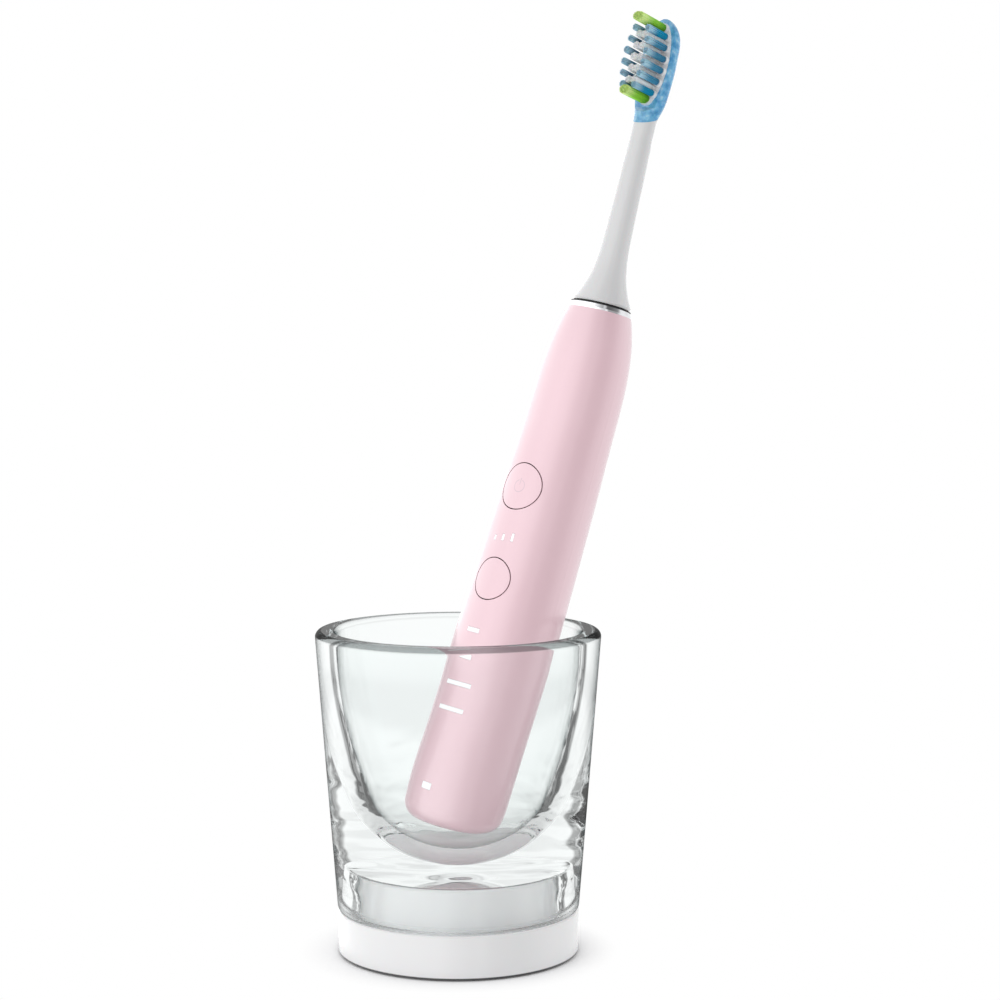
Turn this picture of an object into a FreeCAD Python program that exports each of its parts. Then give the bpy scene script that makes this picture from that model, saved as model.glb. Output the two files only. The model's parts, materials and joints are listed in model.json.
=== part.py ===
import FreeCAD, Part

import math
import operator
import os

import Sketcher
from FreeCAD import Placement, Rotation, Vector

# An electric toothbrush that leans in its charging tumbler. The tumbler is a thick glass that
# drops over the boss of a round charging base. Millimetres and degrees throughout.
# Origin: centre of the foot pad's underside. +Z is up, and the front of the base faces -Y.
SIZES = {
    # charging base
    "foot_radius": 31.0,
    "foot_thickness": 0.4,
    "base_radius": 34.0,
    "base_top_radius": 34.2,
    "base_height": 12.4,
    "base_wall": 1.9,
    "base_edge_round": 0.7,
    "boss_radius": 27.7,
    "boss_top_radius": 26.3,
    "boss_height": 11.3,
    "boss_edge_round": 1.2,
    "plate_thickness": 2.0,
    "plate_gap": 0.15,
    "post_radius": 2.8,
    "post_circle": 27.6,
    "screw_radius": 1.0,
    "screw_length": 6.5,
    "screw_head_radius": 2.0,
    "screw_head_height": 1.2,
    "standoff_height": 5.0,
    "standoff_circle": 17.0,
    "board_radius": 22.5,
    "board_thickness": 1.4,
    "core_radius": 7.4,
    "bobbin_wall": 1.0,
    "coil_radius": 19.0,
    "coil_height": 6.5,
    "chip_width": 7.0,
    "chip_depth": 5.0,
    "chip_height": 1.2,
    "chip_side": 12.0,
    "chip_front": 14.0,
    "choke_size": 6.0,
    "choke_height": 2.4,
    "choke_back": 12.0,
    "gland_bore": 1.75,
    "gland_neck_radius": 2.9,
    "gland_depth": 4.0,
    "gland_reach": 2.0,
    "gland_flange_thickness": 1.5,
    "gland_flange_radius": 3.9,
    "gland_height": 6.45,
    # glass tumbler
    "glass_foot_radius": 34.3,
    "glass_top_radius": 40.3,
    "glass_height": 79.3,
    "glass_foot_round": 1.3,
    "bowl_floor": 14.0,
    "bowl_side_radius": 128.0,
    "bowl_mouth_radius": 34.4,
    "lip_inner_round": 1.6,
    "lip_outer_round": 1.9,
    "recess_gap": 0.4,
    # how the brush leans
    "lean_right": 13.6,
    "lean_back": 4.9,
    "brush_turn": 42.5,
    "rim_side_angle": 36.9,
    "rim_gap": 0.5,
    "bottom_lift": 6.55,
    # handle, with depths measured down from the head's seat
    "handle_depth": 157.46,
    "handle_wall": 1.6,
    "ring_height": 1.9,
    "ring_radius": 9.2,
    "ring_top_radius": 8.8,
    "ring_bore_radius": 7.7,
    "seal_lip": 0.35,
    "neck_end_radius": 9.45,
    "shoulder_depth": 8.0,
    "shoulder_radius": 11.15,
    "upper_depth": 20.0,
    "upper_radius": 12.75,
    "bend_depth": 38.0,
    "bend_radius": 13.25,
    "bend_angle": 4.86,
    "throat_depth": 51.0,
    "throat_radius": 13.68,
    "palm_depth": 66.0,
    "palm_radius": 14.07,
    "grip_depth": 88.0,
    "grip_radius": 14.52,
    "belly_depth": 110.0,
    "belly_radius": 14.8,
    "cap_seam_depth": 151.8,
    "cap_round": 5.0,
    "cap_floor": 3.0,
    "cap_sleeve_wall": 1.4,
    "cap_sleeve_length": 6.0,
    "seal_seat": 2.0,
    "seal_cord": 0.7,
    "slip_gap": 0.15,
    "part_gap": 0.05,
    # controls and lights
    "power_depth": 57.6,
    "power_button_radius": 6.7,
    "mode_depth": 85.1,
    "mode_button_radius": 6.0,
    "button_gap": 0.3,
    "button_flange": 0.85,
    "button_flange_face": 8.4,
    "button_flange_thickness": 0.8,
    "button_travel": 0.5,
    "bars_depth": 73.4,
    "bar_width": 0.9,
    "bar_pitch": 3.05,
    "bar_short": 1.6,
    "bar_growth": 0.42,
    "bar_rise": 0.5,
    "label_depth": 100.4,
    "label_pitch": 7.7,
    "label_short": 4.6,
    "label_long": 9.4,
    "label_height": 1.4,
    "label_shift": 0.5,
    "charge_light_rise": 5.2,
    "charge_light_width": 3.4,
    "charge_light_height": 2.0,
    "notch_gap": 0.5,
    "light_inner_face": 10.6,
    # electronics
    "circuit_face": 6.6,
    "circuit_thickness": 1.2,
    "circuit_half_width": 9.4,
    "circuit_top_depth": 51.0,
    "circuit_end_depth": 131.0,
    "switch_size": 6.0,
    "switch_height": 1.2,
    "lamp_size": 1.6,
    "lamp_height": 0.8,
    "frame_radius": 11.7,
    "frame_wall": 1.2,
    "frame_top_depth": 60.0,
    "frame_end_depth": 132.0,
    "frame_collar_height": 3.0,
    "upper_web": 3.0,
    "lower_web": 4.0,
    "battery_radius": 7.0,
    "battery_length": 50.0,
    "battery_depth": 70.0,
    "battery_offset": 3.0,
    "tab_thickness": 0.4,
    "tab_width": 5.0,
    "receiver_radius": 10.4,
    "receiver_hub_radius": 5.2,
    "receiver_core_radius": 4.0,
    "receiver_top_depth": 134.0,
    "receiver_flange": 1.2,
    # drive
    "shaft_radius": 1.8,
    "shaft_fit": 0.05,
    "shaft_top": 22.0,
    "shaft_depth": 41.0,
    "housing_radius": 7.8,
    "housing_wall": 1.2,
    "housing_top_depth": 9.0,
    "housing_end_depth": 58.0,
    "bearing_length": 4.0,
    "stator_wall": 1.6,
    "stator_length": 14.0,
    "stator_top_depth": 24.0,
    "stator_coil_length": 3.0,
    "stator_coil_gap": 0.5,
    "armature_radius": 3.4,
    "magnet_height": 1.1,
    "magnet_width": 2.6,
    "torsion_bar_radius": 0.9,
    "damper_length": 4.0,
    "front_damper_depth": 17.0,
    "rear_damper_depth": 48.0,
    # brush head, with heights measured up from its seat
    "head_gap": 0.35,
    "neck_base_radius": 8.55,
    "neck_waist_height": 22.0,
    "neck_waist_radius": 4.0,
    "neck_top_height": 46.0,
    "neck_top_radius": 3.4,
    "neck_socket_radius": 3.0,
    "neck_cavity_radius": 6.9,
    "neck_cavity_height": 11.0,
    "sleeve_start": 1.5,
    "sleeve_length": 22.0,
    "sleeve_flange_radius": 5.6,
    "sleeve_flange_rise": 0.7,
    "sleeve_flange_thickness": 0.6,
    "head_length": 85.2,
    "head_half_width": 5.8,
    "head_half_depth": 3.8,
    "head_bow": 0.8,
    "cover_split": 55.6,
    "cover_split_tilt": 26.0,
    "face_offset": 1.8,
    "face_start": 59.0,
    "face_ramp": 50.0,
    "plate_half_width": 4.8,
    "plate_half_length": 12.3,
    "plate_depth": 1.6,
    "plate_centre": 71.65,
    "core_half_width": 2.4,
    "core_thickness": 1.5,
    "core_end_gap": 5.0,
    "tuft_radius": 0.9,
    "white_tuft_radius": 0.8,
    "white_tuft_side": 1.05,
    "tuft_edge": 0.35,
    "second_row_inset": 0.5,
    "tip_row_inset": 1.25,
    "heel_row_inset": 1.4,
    "tuft_field_centre": 71.3,
    "tuft_pitch": 3.35,
    "tuft_root": 1.1,
    "tuft_length": 10.0,
    "white_tuft_length": 9.2,
    "end_tuft_half_width": 1.7,
    "end_tuft_half_height": 1.15,
    "tip_tuft_height": 82.2,
    "heel_tuft_height": 61.1,
    "tip_tuft_length": 12.6,
    "heel_tuft_length": 11.0,
}

doc = FreeCAD.newDocument("toothbrush_on_charger")
sheet = doc.addObject("Spreadsheet::Sheet", "Sizes")
for row, (alias, number) in enumerate(SIZES.items(), start=1):
    sheet.set(f"A{row}", alias.replace("_", " "))
    sheet.set(f"B{row}", str(number))
    sheet.setAlias(f"B{row}", alias)
doc.recompute()


class Size:
    """A number together with the spreadsheet formula that it comes from."""

    SIGNS = {"+": operator.add, "-": operator.sub, "*": operator.mul, "/": operator.truediv}

    def __init__(self, value, text):
        self.value = float(value)
        self.text = text

    def joined(self, other, sign, other_first=False):
        other = other if isinstance(other, Size) else Size(other, repr(float(other)))
        first, second = (other, self) if other_first else (self, other)
        value = self.SIGNS[sign](first.value, second.value)
        return Size(value, f"({first.text} {sign} {second.text})")

    def __add__(self, other):
        return self.joined(other, "+")

    def __radd__(self, other):
        return self.joined(other, "+", other_first=True)

    def __sub__(self, other):
        return self.joined(other, "-")

    def __rsub__(self, other):
        return self.joined(other, "-", other_first=True)

    def __mul__(self, other):
        return self.joined(other, "*")

    def __rmul__(self, other):
        return self.joined(other, "*", other_first=True)

    def __truediv__(self, other):
        return self.joined(other, "/")

    def __neg__(self):
        return self.joined(0, "-", other_first=True)

    def __float__(self):
        return self.value


class Sizes:
    """Reads every driving size from the spreadsheet, by its alias."""

    def __getattr__(self, alias):
        return Size(sheet.get(alias), f"Sizes.{alias}")


size = Sizes()
PIVOT = (size.ring_height + size.bend_depth) / 2
HOME = Placement()
FRONTWARDS = Rotation(Vector(1, 0, 0), 90)
NODES = {}
CUTS = []


def keep(thing, label):
    """Names a finished sub-part, so that it is written to its own file."""
    thing.Label = label
    NODES[label] = thing
    return thing


def bind(thing, **formulas):
    """Ties properties to the spreadsheet; a plain number is set as it is."""
    for name, length in formulas.items():
        if isinstance(length, Size):
            thing.setExpression(name, length.text)
        else:
            setattr(thing, name, length)
    return thing


def moved(frame, x=0, y=0, z=0, turn=None):
    """A placement at a point of a frame."""
    return frame * Placement(Vector(float(x), float(y), float(z)), turn or Rotation())


# ---------------------------------------------------------------- primitives and booleans
def cylinder(name, radius, height, place=HOME):
    rod = doc.addObject("Part::Cylinder", name)
    bind(rod, Radius=radius, Height=height)
    rod.Placement = place
    return rod


def cone(name, lower_radius, upper_radius, height, place=HOME):
    taper = doc.addObject("Part::Cone", name)
    bind(taper, Radius1=lower_radius, Radius2=upper_radius, Height=height)
    taper.Placement = place
    return taper


def ring(name, main_radius, cord_radius, place=HOME):
    hoop = doc.addObject("Part::Torus", name)
    bind(hoop, Radius1=main_radius, Radius2=cord_radius)
    hoop.Placement = place
    return hoop


def block(name, width, depth, height, frame=HOME, x=0, y=0, z=0):
    """A box whose centre line in X stands at x, with its near face at y and its foot at z."""
    brick = doc.addObject("Part::Box", name)
    bind(brick, Length=width, Width=depth, Height=height)
    brick.Placement = moved(frame, float(x) - float(width) / 2, y, z)
    return brick


def fused(name, *pieces):
    union = doc.addObject("Part::MultiFuse", name)
    union.Shapes = list(pieces)
    return union


def minus(name, base, *tools):
    """The base less every tool; a tool that misses the base is an error."""
    tool = tools[0] if len(tools) == 1 else fused(f"{name}_cutters", *tools)
    cut = doc.addObject("Part::Cut", name)
    cut.Base = base
    cut.Tool = tool
    CUTS.append((cut, base))
    return cut


def shared(name, first, second):
    overlap = doc.addObject("Part::Common", name)
    overlap.Base = first
    overlap.Tool = second
    return overlap


def grouped(name, *pieces):
    """Separate solids that are kept in one file."""
    group = doc.addObject("Part::Compound", name)
    group.Links = list(pieces)
    return group


def tube(name, outer, inner, height, place=HOME):
    """A straight ring, padded from a sketch of two circles."""
    body = new_body(name, place)
    sketch = sketch_in(body, f"{name}_rings", "XY_Plane")
    for radius in (outer, inner):
        circle_in(sketch, radius)
    pad = body.newObject("PartDesign::Pad", f"{name}_pad")
    pad.Profile = sketch
    bind(pad, Length=height)
    return body


# ---------------------------------------------------------------- bodies and sketches
def new_body(name, place=HOME):
    body = doc.addObject("PartDesign::Body", name)
    body.Placement = place
    return body


def sketch_in(body, name, role="XZ_Plane", offset=None):
    """A sketch on one of the body's own origin planes."""
    plane = next(item for item in body.Origin.OriginFeatures if item.Role == role)
    sketch = body.newObject("Sketcher::SketchObject", name)
    sketch.AttachmentSupport = [(plane, "")]
    sketch.MapMode = "FlatFace"
    if offset:
        sketch.AttachmentOffset = offset
    return sketch


def circle_in(sketch, radius):
    index = sketch.addGeometry(Part.Circle(Vector(), Vector(0, 0, 1), float(radius)), False)
    sketch.addConstraint(Sketcher.Constraint("Coincident", index, 3, -1, 1))
    number = sketch.addConstraint(Sketcher.Constraint("Radius", index, float(radius)))
    sketch.setExpression(f"Constraints[{number}]", radius.text)


def corners_in(sketch, corners):
    """A closed outline of straight sides, each corner tied to the sheet."""
    points = [Vector(float(across), float(up), 0) for across, up in corners]
    for index, start in enumerate(points):
        end = points[(index + 1) % len(points)]
        sketch.addGeometry(Part.LineSegment(start, end), False)
    for index, (across, up) in enumerate(corners):
        after = (index + 1) % len(corners)
        sketch.addConstraint(Sketcher.Constraint("Coincident", index, 2, after, 1))
        for kind, length, axis in (("DistanceX", across, -2), ("DistanceY", up, -1)):
            if float(length) == 0:
                sketch.addConstraint(Sketcher.Constraint("PointOnObject", index, 1, axis))
                continue
            tie = Sketcher.Constraint(kind, -1, 1, index, 1, float(length))
            number = sketch.addConstraint(tie)
            if isinstance(length, Size):
                sketch.setExpression(f"Constraints[{number}]", length.text)


def revolved(body, sketch, name):
    turn = body.newObject("PartDesign::Revolution", f"{name}_turn")
    turn.Profile = sketch
    turn.ReferenceAxis = (sketch, ["V_Axis"])
    turn.Angle = 360
    return turn


def turned(name, corners, place=HOME):
    """A solid of revolution about Z, from corners given as radius and height."""
    body = new_body(name, place)
    sketch = sketch_in(body, f"{name}_outline")
    corners_in(sketch, corners)
    revolved(body, sketch, name)
    return body


def turned_curve(name, edges, place=HOME):
    """A solid of revolution about Z whose outline has curved sides."""
    body = new_body(name, place)
    sketch = sketch_in(body, f"{name}_outline")
    for edge in edges:
        sketch.addGeometry(edge, False)
    revolved(body, sketch, name)
    return body


def line(start, end):
    return Part.LineSegment(Vector(*start, 0), Vector(*end, 0))


def quarter(centre, radius, from_angle, to_angle):
    """A circular arc about a centre, between two angles."""
    angles = [math.radians(a) for a in (from_angle, (from_angle + to_angle) / 2, to_angle)]
    points = [Vector(centre[0] + radius * math.cos(a), centre[1] + radius * math.sin(a), 0)
              for a in angles]
    return Part.Arc(*points)


def rounded(name, body, radius, **where):
    """Fillets the body's circular edges of the given radius and height."""
    doc.recompute()
    base = body.Tip
    picked = []
    for index, edge in enumerate(base.Shape.Edges, start=1):
        curve = edge.Curve
        if not isinstance(curve, Part.Circle):
            continue
        matches = abs(curve.Radius - float(where["around"])) < 0.01
        if matches and abs(curve.Center.z - float(where["height"])) < 0.01:
            picked.append(f"Edge{index}")
    fillet = body.newObject("PartDesign::Fillet", name)
    fillet.Base = (base, picked)
    bind(fillet, Radius=radius)
    return fillet


# ---------------------------------------------------------------- where the brush leans
def brush_frames():
    """The shaft's frame and the grip's frame. In both, Z runs up the brush and -Y is the
    side of the bristles and buttons. The grip lies against the rim and stands in the bowl."""
    turn = Rotation(Vector(0, 1, 0), float(size.lean_right))
    turn = turn * Rotation(Vector(1, 0, 0), -float(size.lean_back))
    turn = turn * Rotation(Vector(0, 0, 1), -float(size.brush_turn))
    bend = Rotation(Vector(1, 0, 0), -float(size.bend_angle))
    up = (turn * bend).multVec(Vector(0, 0, 1))
    rim = float(size.base_height + size.glass_height - size.lip_inner_round)
    side = math.radians(float(size.rim_side_angle))
    reach = float(size.bowl_mouth_radius - size.rim_gap) - float(size.belly_radius) / up.z
    at_rim = Vector(reach * math.cos(side), reach * math.sin(side), rim)
    bottom = float(size.base_height + size.bowl_floor + size.bottom_lift)
    foot = at_rim + up * ((bottom - rim) / up.z)
    pivot = foot + up * float(size.handle_depth - PIVOT)
    grip = Placement(pivot, turn * bend)
    shaft = Placement(pivot + turn.multVec(Vector(0, 0, float(PIVOT))), turn)
    return shaft, grip


SHAFT, GRIP = brush_frames()


def on_grip(depth, x=0, y=0, turn=None):
    return moved(GRIP, x, y, float(PIVOT - depth), turn)


def on_shaft(height, x=0, y=0, turn=None):
    return moved(SHAFT, x, y, height, turn)


# ---------------------------------------------------------------- charging base
def base_angles():
    return (30, 150, 270)


def around(radius, angle):
    """A point on a circle about the base's axis."""
    return float(radius) * math.cos(math.radians(angle)), float(radius) * math.sin(math.radians(angle))


def cord_axis():
    """The cord's way in, at the back of the base."""
    start = size.base_top_radius - size.base_wall - size.gland_depth
    return moved(HOME, 0, start, size.gland_height, Rotation(Vector(1, 0, 0), -90))


def charging_base():
    top = size.base_height
    boss_top = size.base_height + size.boss_height
    bottom = size.foot_thickness
    plate_top = size.foot_thickness + size.plate_thickness
    inner = size.base_radius - size.base_wall
    shell = turned("cover_shell", [
        (0, boss_top), (size.boss_top_radius, boss_top), (size.boss_radius, top),
        (size.base_top_radius, top), (size.base_radius, bottom), (inner, bottom),
        (inner, top - size.base_wall), (size.boss_radius - size.base_wall, top - size.base_wall),
        (size.boss_top_radius - size.base_wall, boss_top - size.base_wall),
        (0, boss_top - size.base_wall)])
    rounded("cover_top_round", shell, size.base_edge_round, around=size.base_top_radius, height=top)
    rounded("boss_top_round", shell, size.boss_edge_round,
            around=size.boss_top_radius, height=boss_top)
    posts, holes, screws, seats = [], [], [], []
    hole_length = size.screw_length
    for number, angle in enumerate(base_angles(), start=1):
        x, y = around(size.post_circle, angle)
        place = moved(HOME, x, y, plate_top)
        posts.append(cylinder(f"post_{number}", size.post_radius,
                              top - size.base_wall / 2 - plate_top, place))
        holes.append(cylinder(f"post_hole_{number}", size.screw_radius, hole_length, place))
        head = moved(HOME, x, y, bottom)
        shank = cylinder(f"screw_shank_{number}", size.screw_radius,
                         size.screw_length + size.plate_thickness - size.slip_gap, head)
        cap = cylinder(f"screw_head_{number}", size.screw_head_radius, size.screw_head_height, head)
        screws.append(fused(f"base_screw_{number}", cap, shank))
        seats.append(cylinder(f"screw_seat_{number}", size.screw_head_radius + size.part_gap,
                              size.screw_head_height, head))
        seats.append(cylinder(f"plate_hole_{number}", size.screw_radius + size.part_gap,
                              size.plate_thickness, head))
    gland_hole = cylinder("gland_hole", size.gland_neck_radius + size.part_gap,
                          size.gland_depth + size.base_wall + 2 * size.gland_reach, cord_axis())
    keep(minus("base_cover", fused("cover_with_posts", shell, *posts), *holes, gland_hole),
         "base_cover")

    disc = cylinder("plate_disc", inner - size.plate_gap, size.plate_thickness,
                    moved(HOME, z=bottom))
    standoffs = []
    for number, angle in enumerate(base_angles(), start=1):
        x, y = around(size.standoff_circle, angle)
        standoffs.append(cylinder(f"standoff_{number}", size.post_radius / 2,
                                  size.standoff_height, moved(HOME, x, y, plate_top)))
    keep(minus("base_plate", fused("plate_with_standoffs", disc, *standoffs), *seats),
         "base_plate")
    keep(grouped("base_screws", *screws), "base_screws")
    keep(cylinder("foot_pad", size.foot_radius, size.foot_thickness), "foot_pad")
    charger_electronics(plate_top + size.standoff_height, boss_top - size.base_wall)
    cord_gland()


def charger_electronics(board_foot, ceiling):
    """The board on its standoffs, with the coil's pot on it, up inside the boss."""
    board_top = board_foot + size.board_thickness
    keep(cylinder("charger_board", size.board_radius, size.board_thickness,
                  moved(HOME, z=board_foot)), "charger_board")
    coil_foot = ceiling - size.slip_gap - size.bobbin_wall - size.coil_height
    core_top = ceiling - size.slip_gap
    keep(cylinder("charger_core", size.core_radius, core_top - board_top,
                  moved(HOME, z=board_top)), "charger_core")
    hub = size.core_radius + size.part_gap
    hub_outer = hub + size.bobbin_wall
    rise = coil_foot - board_top
    lower = rise - size.bobbin_wall
    full = core_top - board_top
    keep(turned("coil_bobbin", [
        (hub, 0), (hub_outer, 0), (hub_outer, lower), (size.coil_radius, lower),
        (size.coil_radius, rise), (hub_outer, rise), (hub_outer, full - size.bobbin_wall),
        (size.coil_radius, full - size.bobbin_wall), (size.coil_radius, full), (hub, full)],
        moved(HOME, z=board_top)), "coil_bobbin")
    keep(tube("charger_coil", size.coil_radius - size.bobbin_wall, hub_outer + size.part_gap,
              size.coil_height, moved(HOME, z=coil_foot)), "charger_coil")
    can_radius = size.gland_neck_radius
    can = cylinder("filter_can", can_radius, lower - 2 * size.slip_gap,
                   moved(HOME, *around(size.coil_radius - can_radius, 210), board_top))
    chip = block("driver_chip", size.chip_width, size.chip_depth, size.chip_height, HOME,
                 x=size.chip_side, y=-size.chip_front, z=board_top)
    choke = block("line_choke", size.choke_size, size.choke_size, size.choke_height, HOME,
                  y=size.choke_back, z=board_top)
    keep(grouped("charger_components", can, chip, choke), "charger_components")


def cord_gland():
    """A rubber grommet in the cover's back wall, with the cord's bore through it."""
    neck_length = size.gland_depth + size.base_wall + size.gland_reach
    neck = cylinder("gland_neck", size.gland_neck_radius, neck_length, cord_axis())
    flange = cylinder("gland_flange", size.gland_flange_radius, size.gland_flange_thickness,
                      cord_axis())
    bore = cylinder("gland_hollow", size.gland_bore, neck_length + 2 * size.gland_reach,
                    moved(cord_axis(), z=-size.gland_reach))
    keep(minus("cord_gland", fused("gland_form", neck, flange), bore), "cord_gland")


# ---------------------------------------------------------------- glass tumbler
def charging_glass():
    """Outline from the axis up the bowl, over the lip and down the tapered outside. The bowl
    is an arc about the axis that runs on, tangent, into the long arc of the side."""
    floor = float(size.bowl_floor)
    top = float(size.glass_height)
    mouth = float(size.bowl_mouth_radius)
    side = float(size.bowl_side_radius)
    inner_round = float(size.lip_inner_round)
    outer_round = float(size.lip_outer_round)
    foot_round = float(size.glass_foot_round)
    foot = float(size.glass_foot_radius)
    rim = float(size.glass_top_radius)
    side_end = top - inner_round
    rise = side_end - floor
    bowl = (side * side - (side - mouth) ** 2 - rise * rise) / (2 * (side - rise))
    across, drop = side - mouth, side_end - (floor + bowl)
    span = math.hypot(across, drop)
    join = (bowl * across / span, floor + bowl - bowl * drop / span)
    low_angle = -math.degrees(math.atan2(drop, across))
    recess = float(size.boss_radius + size.recess_gap)
    recess_top = float(size.boss_top_radius + size.recess_gap)
    depth = float(size.boss_height + size.recess_gap)
    edges = [
        line((0, depth), (0, floor)),
        quarter((0, floor + bowl), bowl, -90, low_angle),
        quarter((mouth - side, side_end), side, low_angle, 0),
        quarter((mouth + inner_round, side_end), inner_round, 180, 90),
        line((mouth + inner_round, top), (rim - outer_round, top)),
        quarter((rim - outer_round, top - outer_round), outer_round, 90, 0),
        line((rim, top - outer_round), (foot, foot_round)),
        quarter((foot - foot_round, foot_round), foot_round, 0, -90),
        line((foot - foot_round, 0), (recess, 0)),
        line((recess, 0), (recess_top, depth)),
        line((recess_top, depth), (0, depth)),
    ]
    assert abs(join[1] - (floor + bowl + bowl * math.sin(math.radians(low_angle)))) < 1e-6
    keep(turned_curve("charging_glass", edges, moved(HOME, z=size.base_height)),
         "charging_glass")


# ---------------------------------------------------------------- handle
def spine_place(depth):
    """Offset of a section from the shaft's frame. The spine leaves the ring along the shaft,
    bends evenly down to the bend's depth, and runs straight along the grip below it."""
    start, end = float(size.ring_height), float(size.bend_depth)
    bend = float(size.bend_angle)
    if depth >= end:
        return SHAFT.inverse() * on_grip(depth)
    curve = (end - start) / 2 / math.tan(math.radians(bend / 2))
    tilt = bend * (depth - start) / (end - start)
    angle = math.radians(tilt)
    place = Vector(0, -curve * (1 - math.cos(angle)), -start - curve * math.sin(angle))
    return Placement(place, Rotation(Vector(1, 0, 0), -tilt))


def lofted(name, stations):
    """A round solid through circles at several depths along the spine."""
    body = new_body(name, SHAFT)
    sketches = []
    for number, (depth, radius) in enumerate(stations, start=1):
        sketch = sketch_in(body, f"{name}_section_{number}", "XY_Plane",
                           spine_place(float(depth)))
        circle_in(sketch, radius)
        sketches.append(sketch)
    loft = body.newObject("PartDesign::AdditiveLoft", f"{name}_loft")
    loft.Profile = sketches[0]
    loft.Sections = sketches[1:]
    return body


def handle_stations(inset):
    return [
        (size.shoulder_depth, size.shoulder_radius - inset),
        (size.upper_depth, size.upper_radius - inset),
        (size.bend_depth, size.bend_radius - inset),
        (size.throat_depth, size.throat_radius - inset),
        (size.palm_depth, size.palm_radius - inset),
        (size.grip_depth, size.grip_radius - inset),
        (size.belly_depth, size.belly_radius - inset),
        ((size.belly_depth + size.cap_seam_depth) / 2, size.belly_radius - inset),
        (size.cap_seam_depth, size.belly_radius - inset),
    ]


def front_rod(name, radius, depth, near=None):
    """A rod that points out of the front of the grip, centred at a depth."""
    face = float(near) if near else 0
    return cylinder(name, radius, size.belly_radius + 5 - face,
                    on_grip(depth, y=-face, turn=FRONTWARDS))


def front_bar(name, width, height, depth, near, x=0):
    """A bar that points out of the front of the grip, from its inner face outwards."""
    return block(name, width, size.belly_radius + 5 - near, height, GRIP, x=x,
                 y=-float(size.belly_radius + 5), z=float(PIVOT - depth) - float(height) / 2)


def light_bars():
    """Name, width, height, depth and sideways place of each lit mark on the grip."""
    marks = []
    for number in range(3):
        marks.append((f"level_bar_{number + 1}", size.bar_width,
                      size.bar_short + number * size.bar_growth,
                      size.bars_depth - number * size.bar_rise,
                      (number - 1) * float(size.bar_pitch)))
    widths = (size.label_short, size.label_short, size.label_long, size.label_long)
    for number, width in enumerate(widths):
        marks.append((f"mode_bar_{number + 1}", width, size.label_height,
                      size.label_depth + number * size.label_pitch, -float(size.label_shift)))
    marks.append(("charge_bar", size.charge_light_width, size.charge_light_height,
                  size.cap_seam_depth - size.charge_light_rise, 0))
    return marks


def handle():
    top = size.ring_height
    form = lofted("handle_form", [(top, size.neck_end_radius)] + handle_stations(0))
    hollow = lofted("handle_hollow",
                    [(top + size.handle_wall, size.neck_end_radius - size.handle_wall / 2)]
                    + handle_stations(size.handle_wall))
    mouth = cylinder("handle_mouth", size.ring_bore_radius, top + size.handle_wall + 2,
                     on_shaft(-(top + size.handle_wall + 1)))
    buttons = [("power", size.power_depth, size.power_button_radius),
               ("mode", size.mode_depth, size.mode_button_radius)]
    openings = [front_rod(f"{name}_opening", radius + size.button_gap, depth)
                for name, depth, radius in buttons]
    lights = {}
    for name, width, height, depth, x in light_bars():
        openings.append(front_bar(f"{name}_slot", width, height, depth, size.light_inner_face, x))
        rod = front_bar(f"{name}_rod", width - 2 * size.part_gap, height - 2 * size.part_gap,
                        depth, size.light_inner_face, x)
        lights[name] = shared(name, form, rod)
    keep(minus("handle_shell", form, hollow, mouth, *openings), "handle_shell")
    for name, depth, radius in buttons:
        button(name, form, depth, radius)
    keep(grouped("level_lights", *[lights[f"level_bar_{n}"] for n in (1, 2, 3)]), "level_lights")
    keep(grouped("mode_lights", *[lights[f"mode_bar_{n}"] for n in (1, 2, 3, 4)]), "mode_lights")
    keep(grouped("charge_light", lights["charge_bar"]), "charge_light")


def button(name, form, depth, radius):
    """A push button that carries the grip's own curve, with a flange behind the shell."""
    head = shared(f"{name}_button_head", form,
                  front_rod(f"{name}_button_rod", radius, depth, near=size.button_flange_face))
    flange = cylinder(f"{name}_button_flange", radius + size.button_flange,
                      size.button_flange_thickness,
                      on_grip(depth, y=-float(size.button_flange_face), turn=FRONTWARDS))
    keep(fused(f"{name}_button", head, flange), f"{name}_button")


def end_cap():
    """The rounded bottom of the grip, with a sleeve that plugs into the shell."""
    height = float(size.handle_depth - size.cap_seam_depth)
    outer = float(size.belly_radius)
    turn = float(size.cap_round)
    bore = outer - float(size.handle_wall)
    sleeve = bore - float(size.slip_gap)
    inside = sleeve - float(size.cap_sleeve_wall)
    floor = float(size.cap_floor)
    top = height + float(size.cap_sleeve_length)
    groove_low = height + float(size.seal_seat)
    groove_high = groove_low + 2 * float(size.seal_cord)
    groove = sleeve - float(size.seal_cord)
    edges = [
        line((0, floor), (0, 0)),
        line((0, 0), (outer - turn, 0)),
        quarter((outer - turn, turn), turn, -90, 0),
    ]
    if height > turn:
        edges.append(line((outer, turn), (outer, height)))
    edges += [
        line((outer, max(height, turn)), (sleeve, max(height, turn))),
        line((sleeve, max(height, turn)), (sleeve, groove_low)),
        line((sleeve, groove_low), (groove, groove_low)),
        line((groove, groove_low), (groove, groove_high)),
        line((groove, groove_high), (sleeve, groove_high)),
        line((sleeve, groove_high), (sleeve, top)),
        line((sleeve, top), (inside, top)),
        line((inside, top), (inside, floor)),
        line((inside, floor), (0, floor)),
    ]
    cap = turned_curve("cap_form", edges, on_grip(size.handle_depth))
    slot = front_bar("charge_light_notch", size.charge_light_width + 2 * size.notch_gap,
                     size.charge_light_height + 2 * size.notch_gap,
                     size.cap_seam_depth - size.charge_light_rise,
                     size.belly_radius - size.handle_wall - size.cap_sleeve_wall
                     - 4 * size.notch_gap)
    keep(minus("end_cap", cap, slot), "end_cap")
    seal_radius = size.belly_radius - size.handle_wall - size.slip_gap - size.seal_cord / 2
    keep(ring("cap_seal", seal_radius, size.seal_cord / 2,
              on_grip(size.cap_seam_depth - size.seal_seat - size.seal_cord)), "cap_seal")


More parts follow.
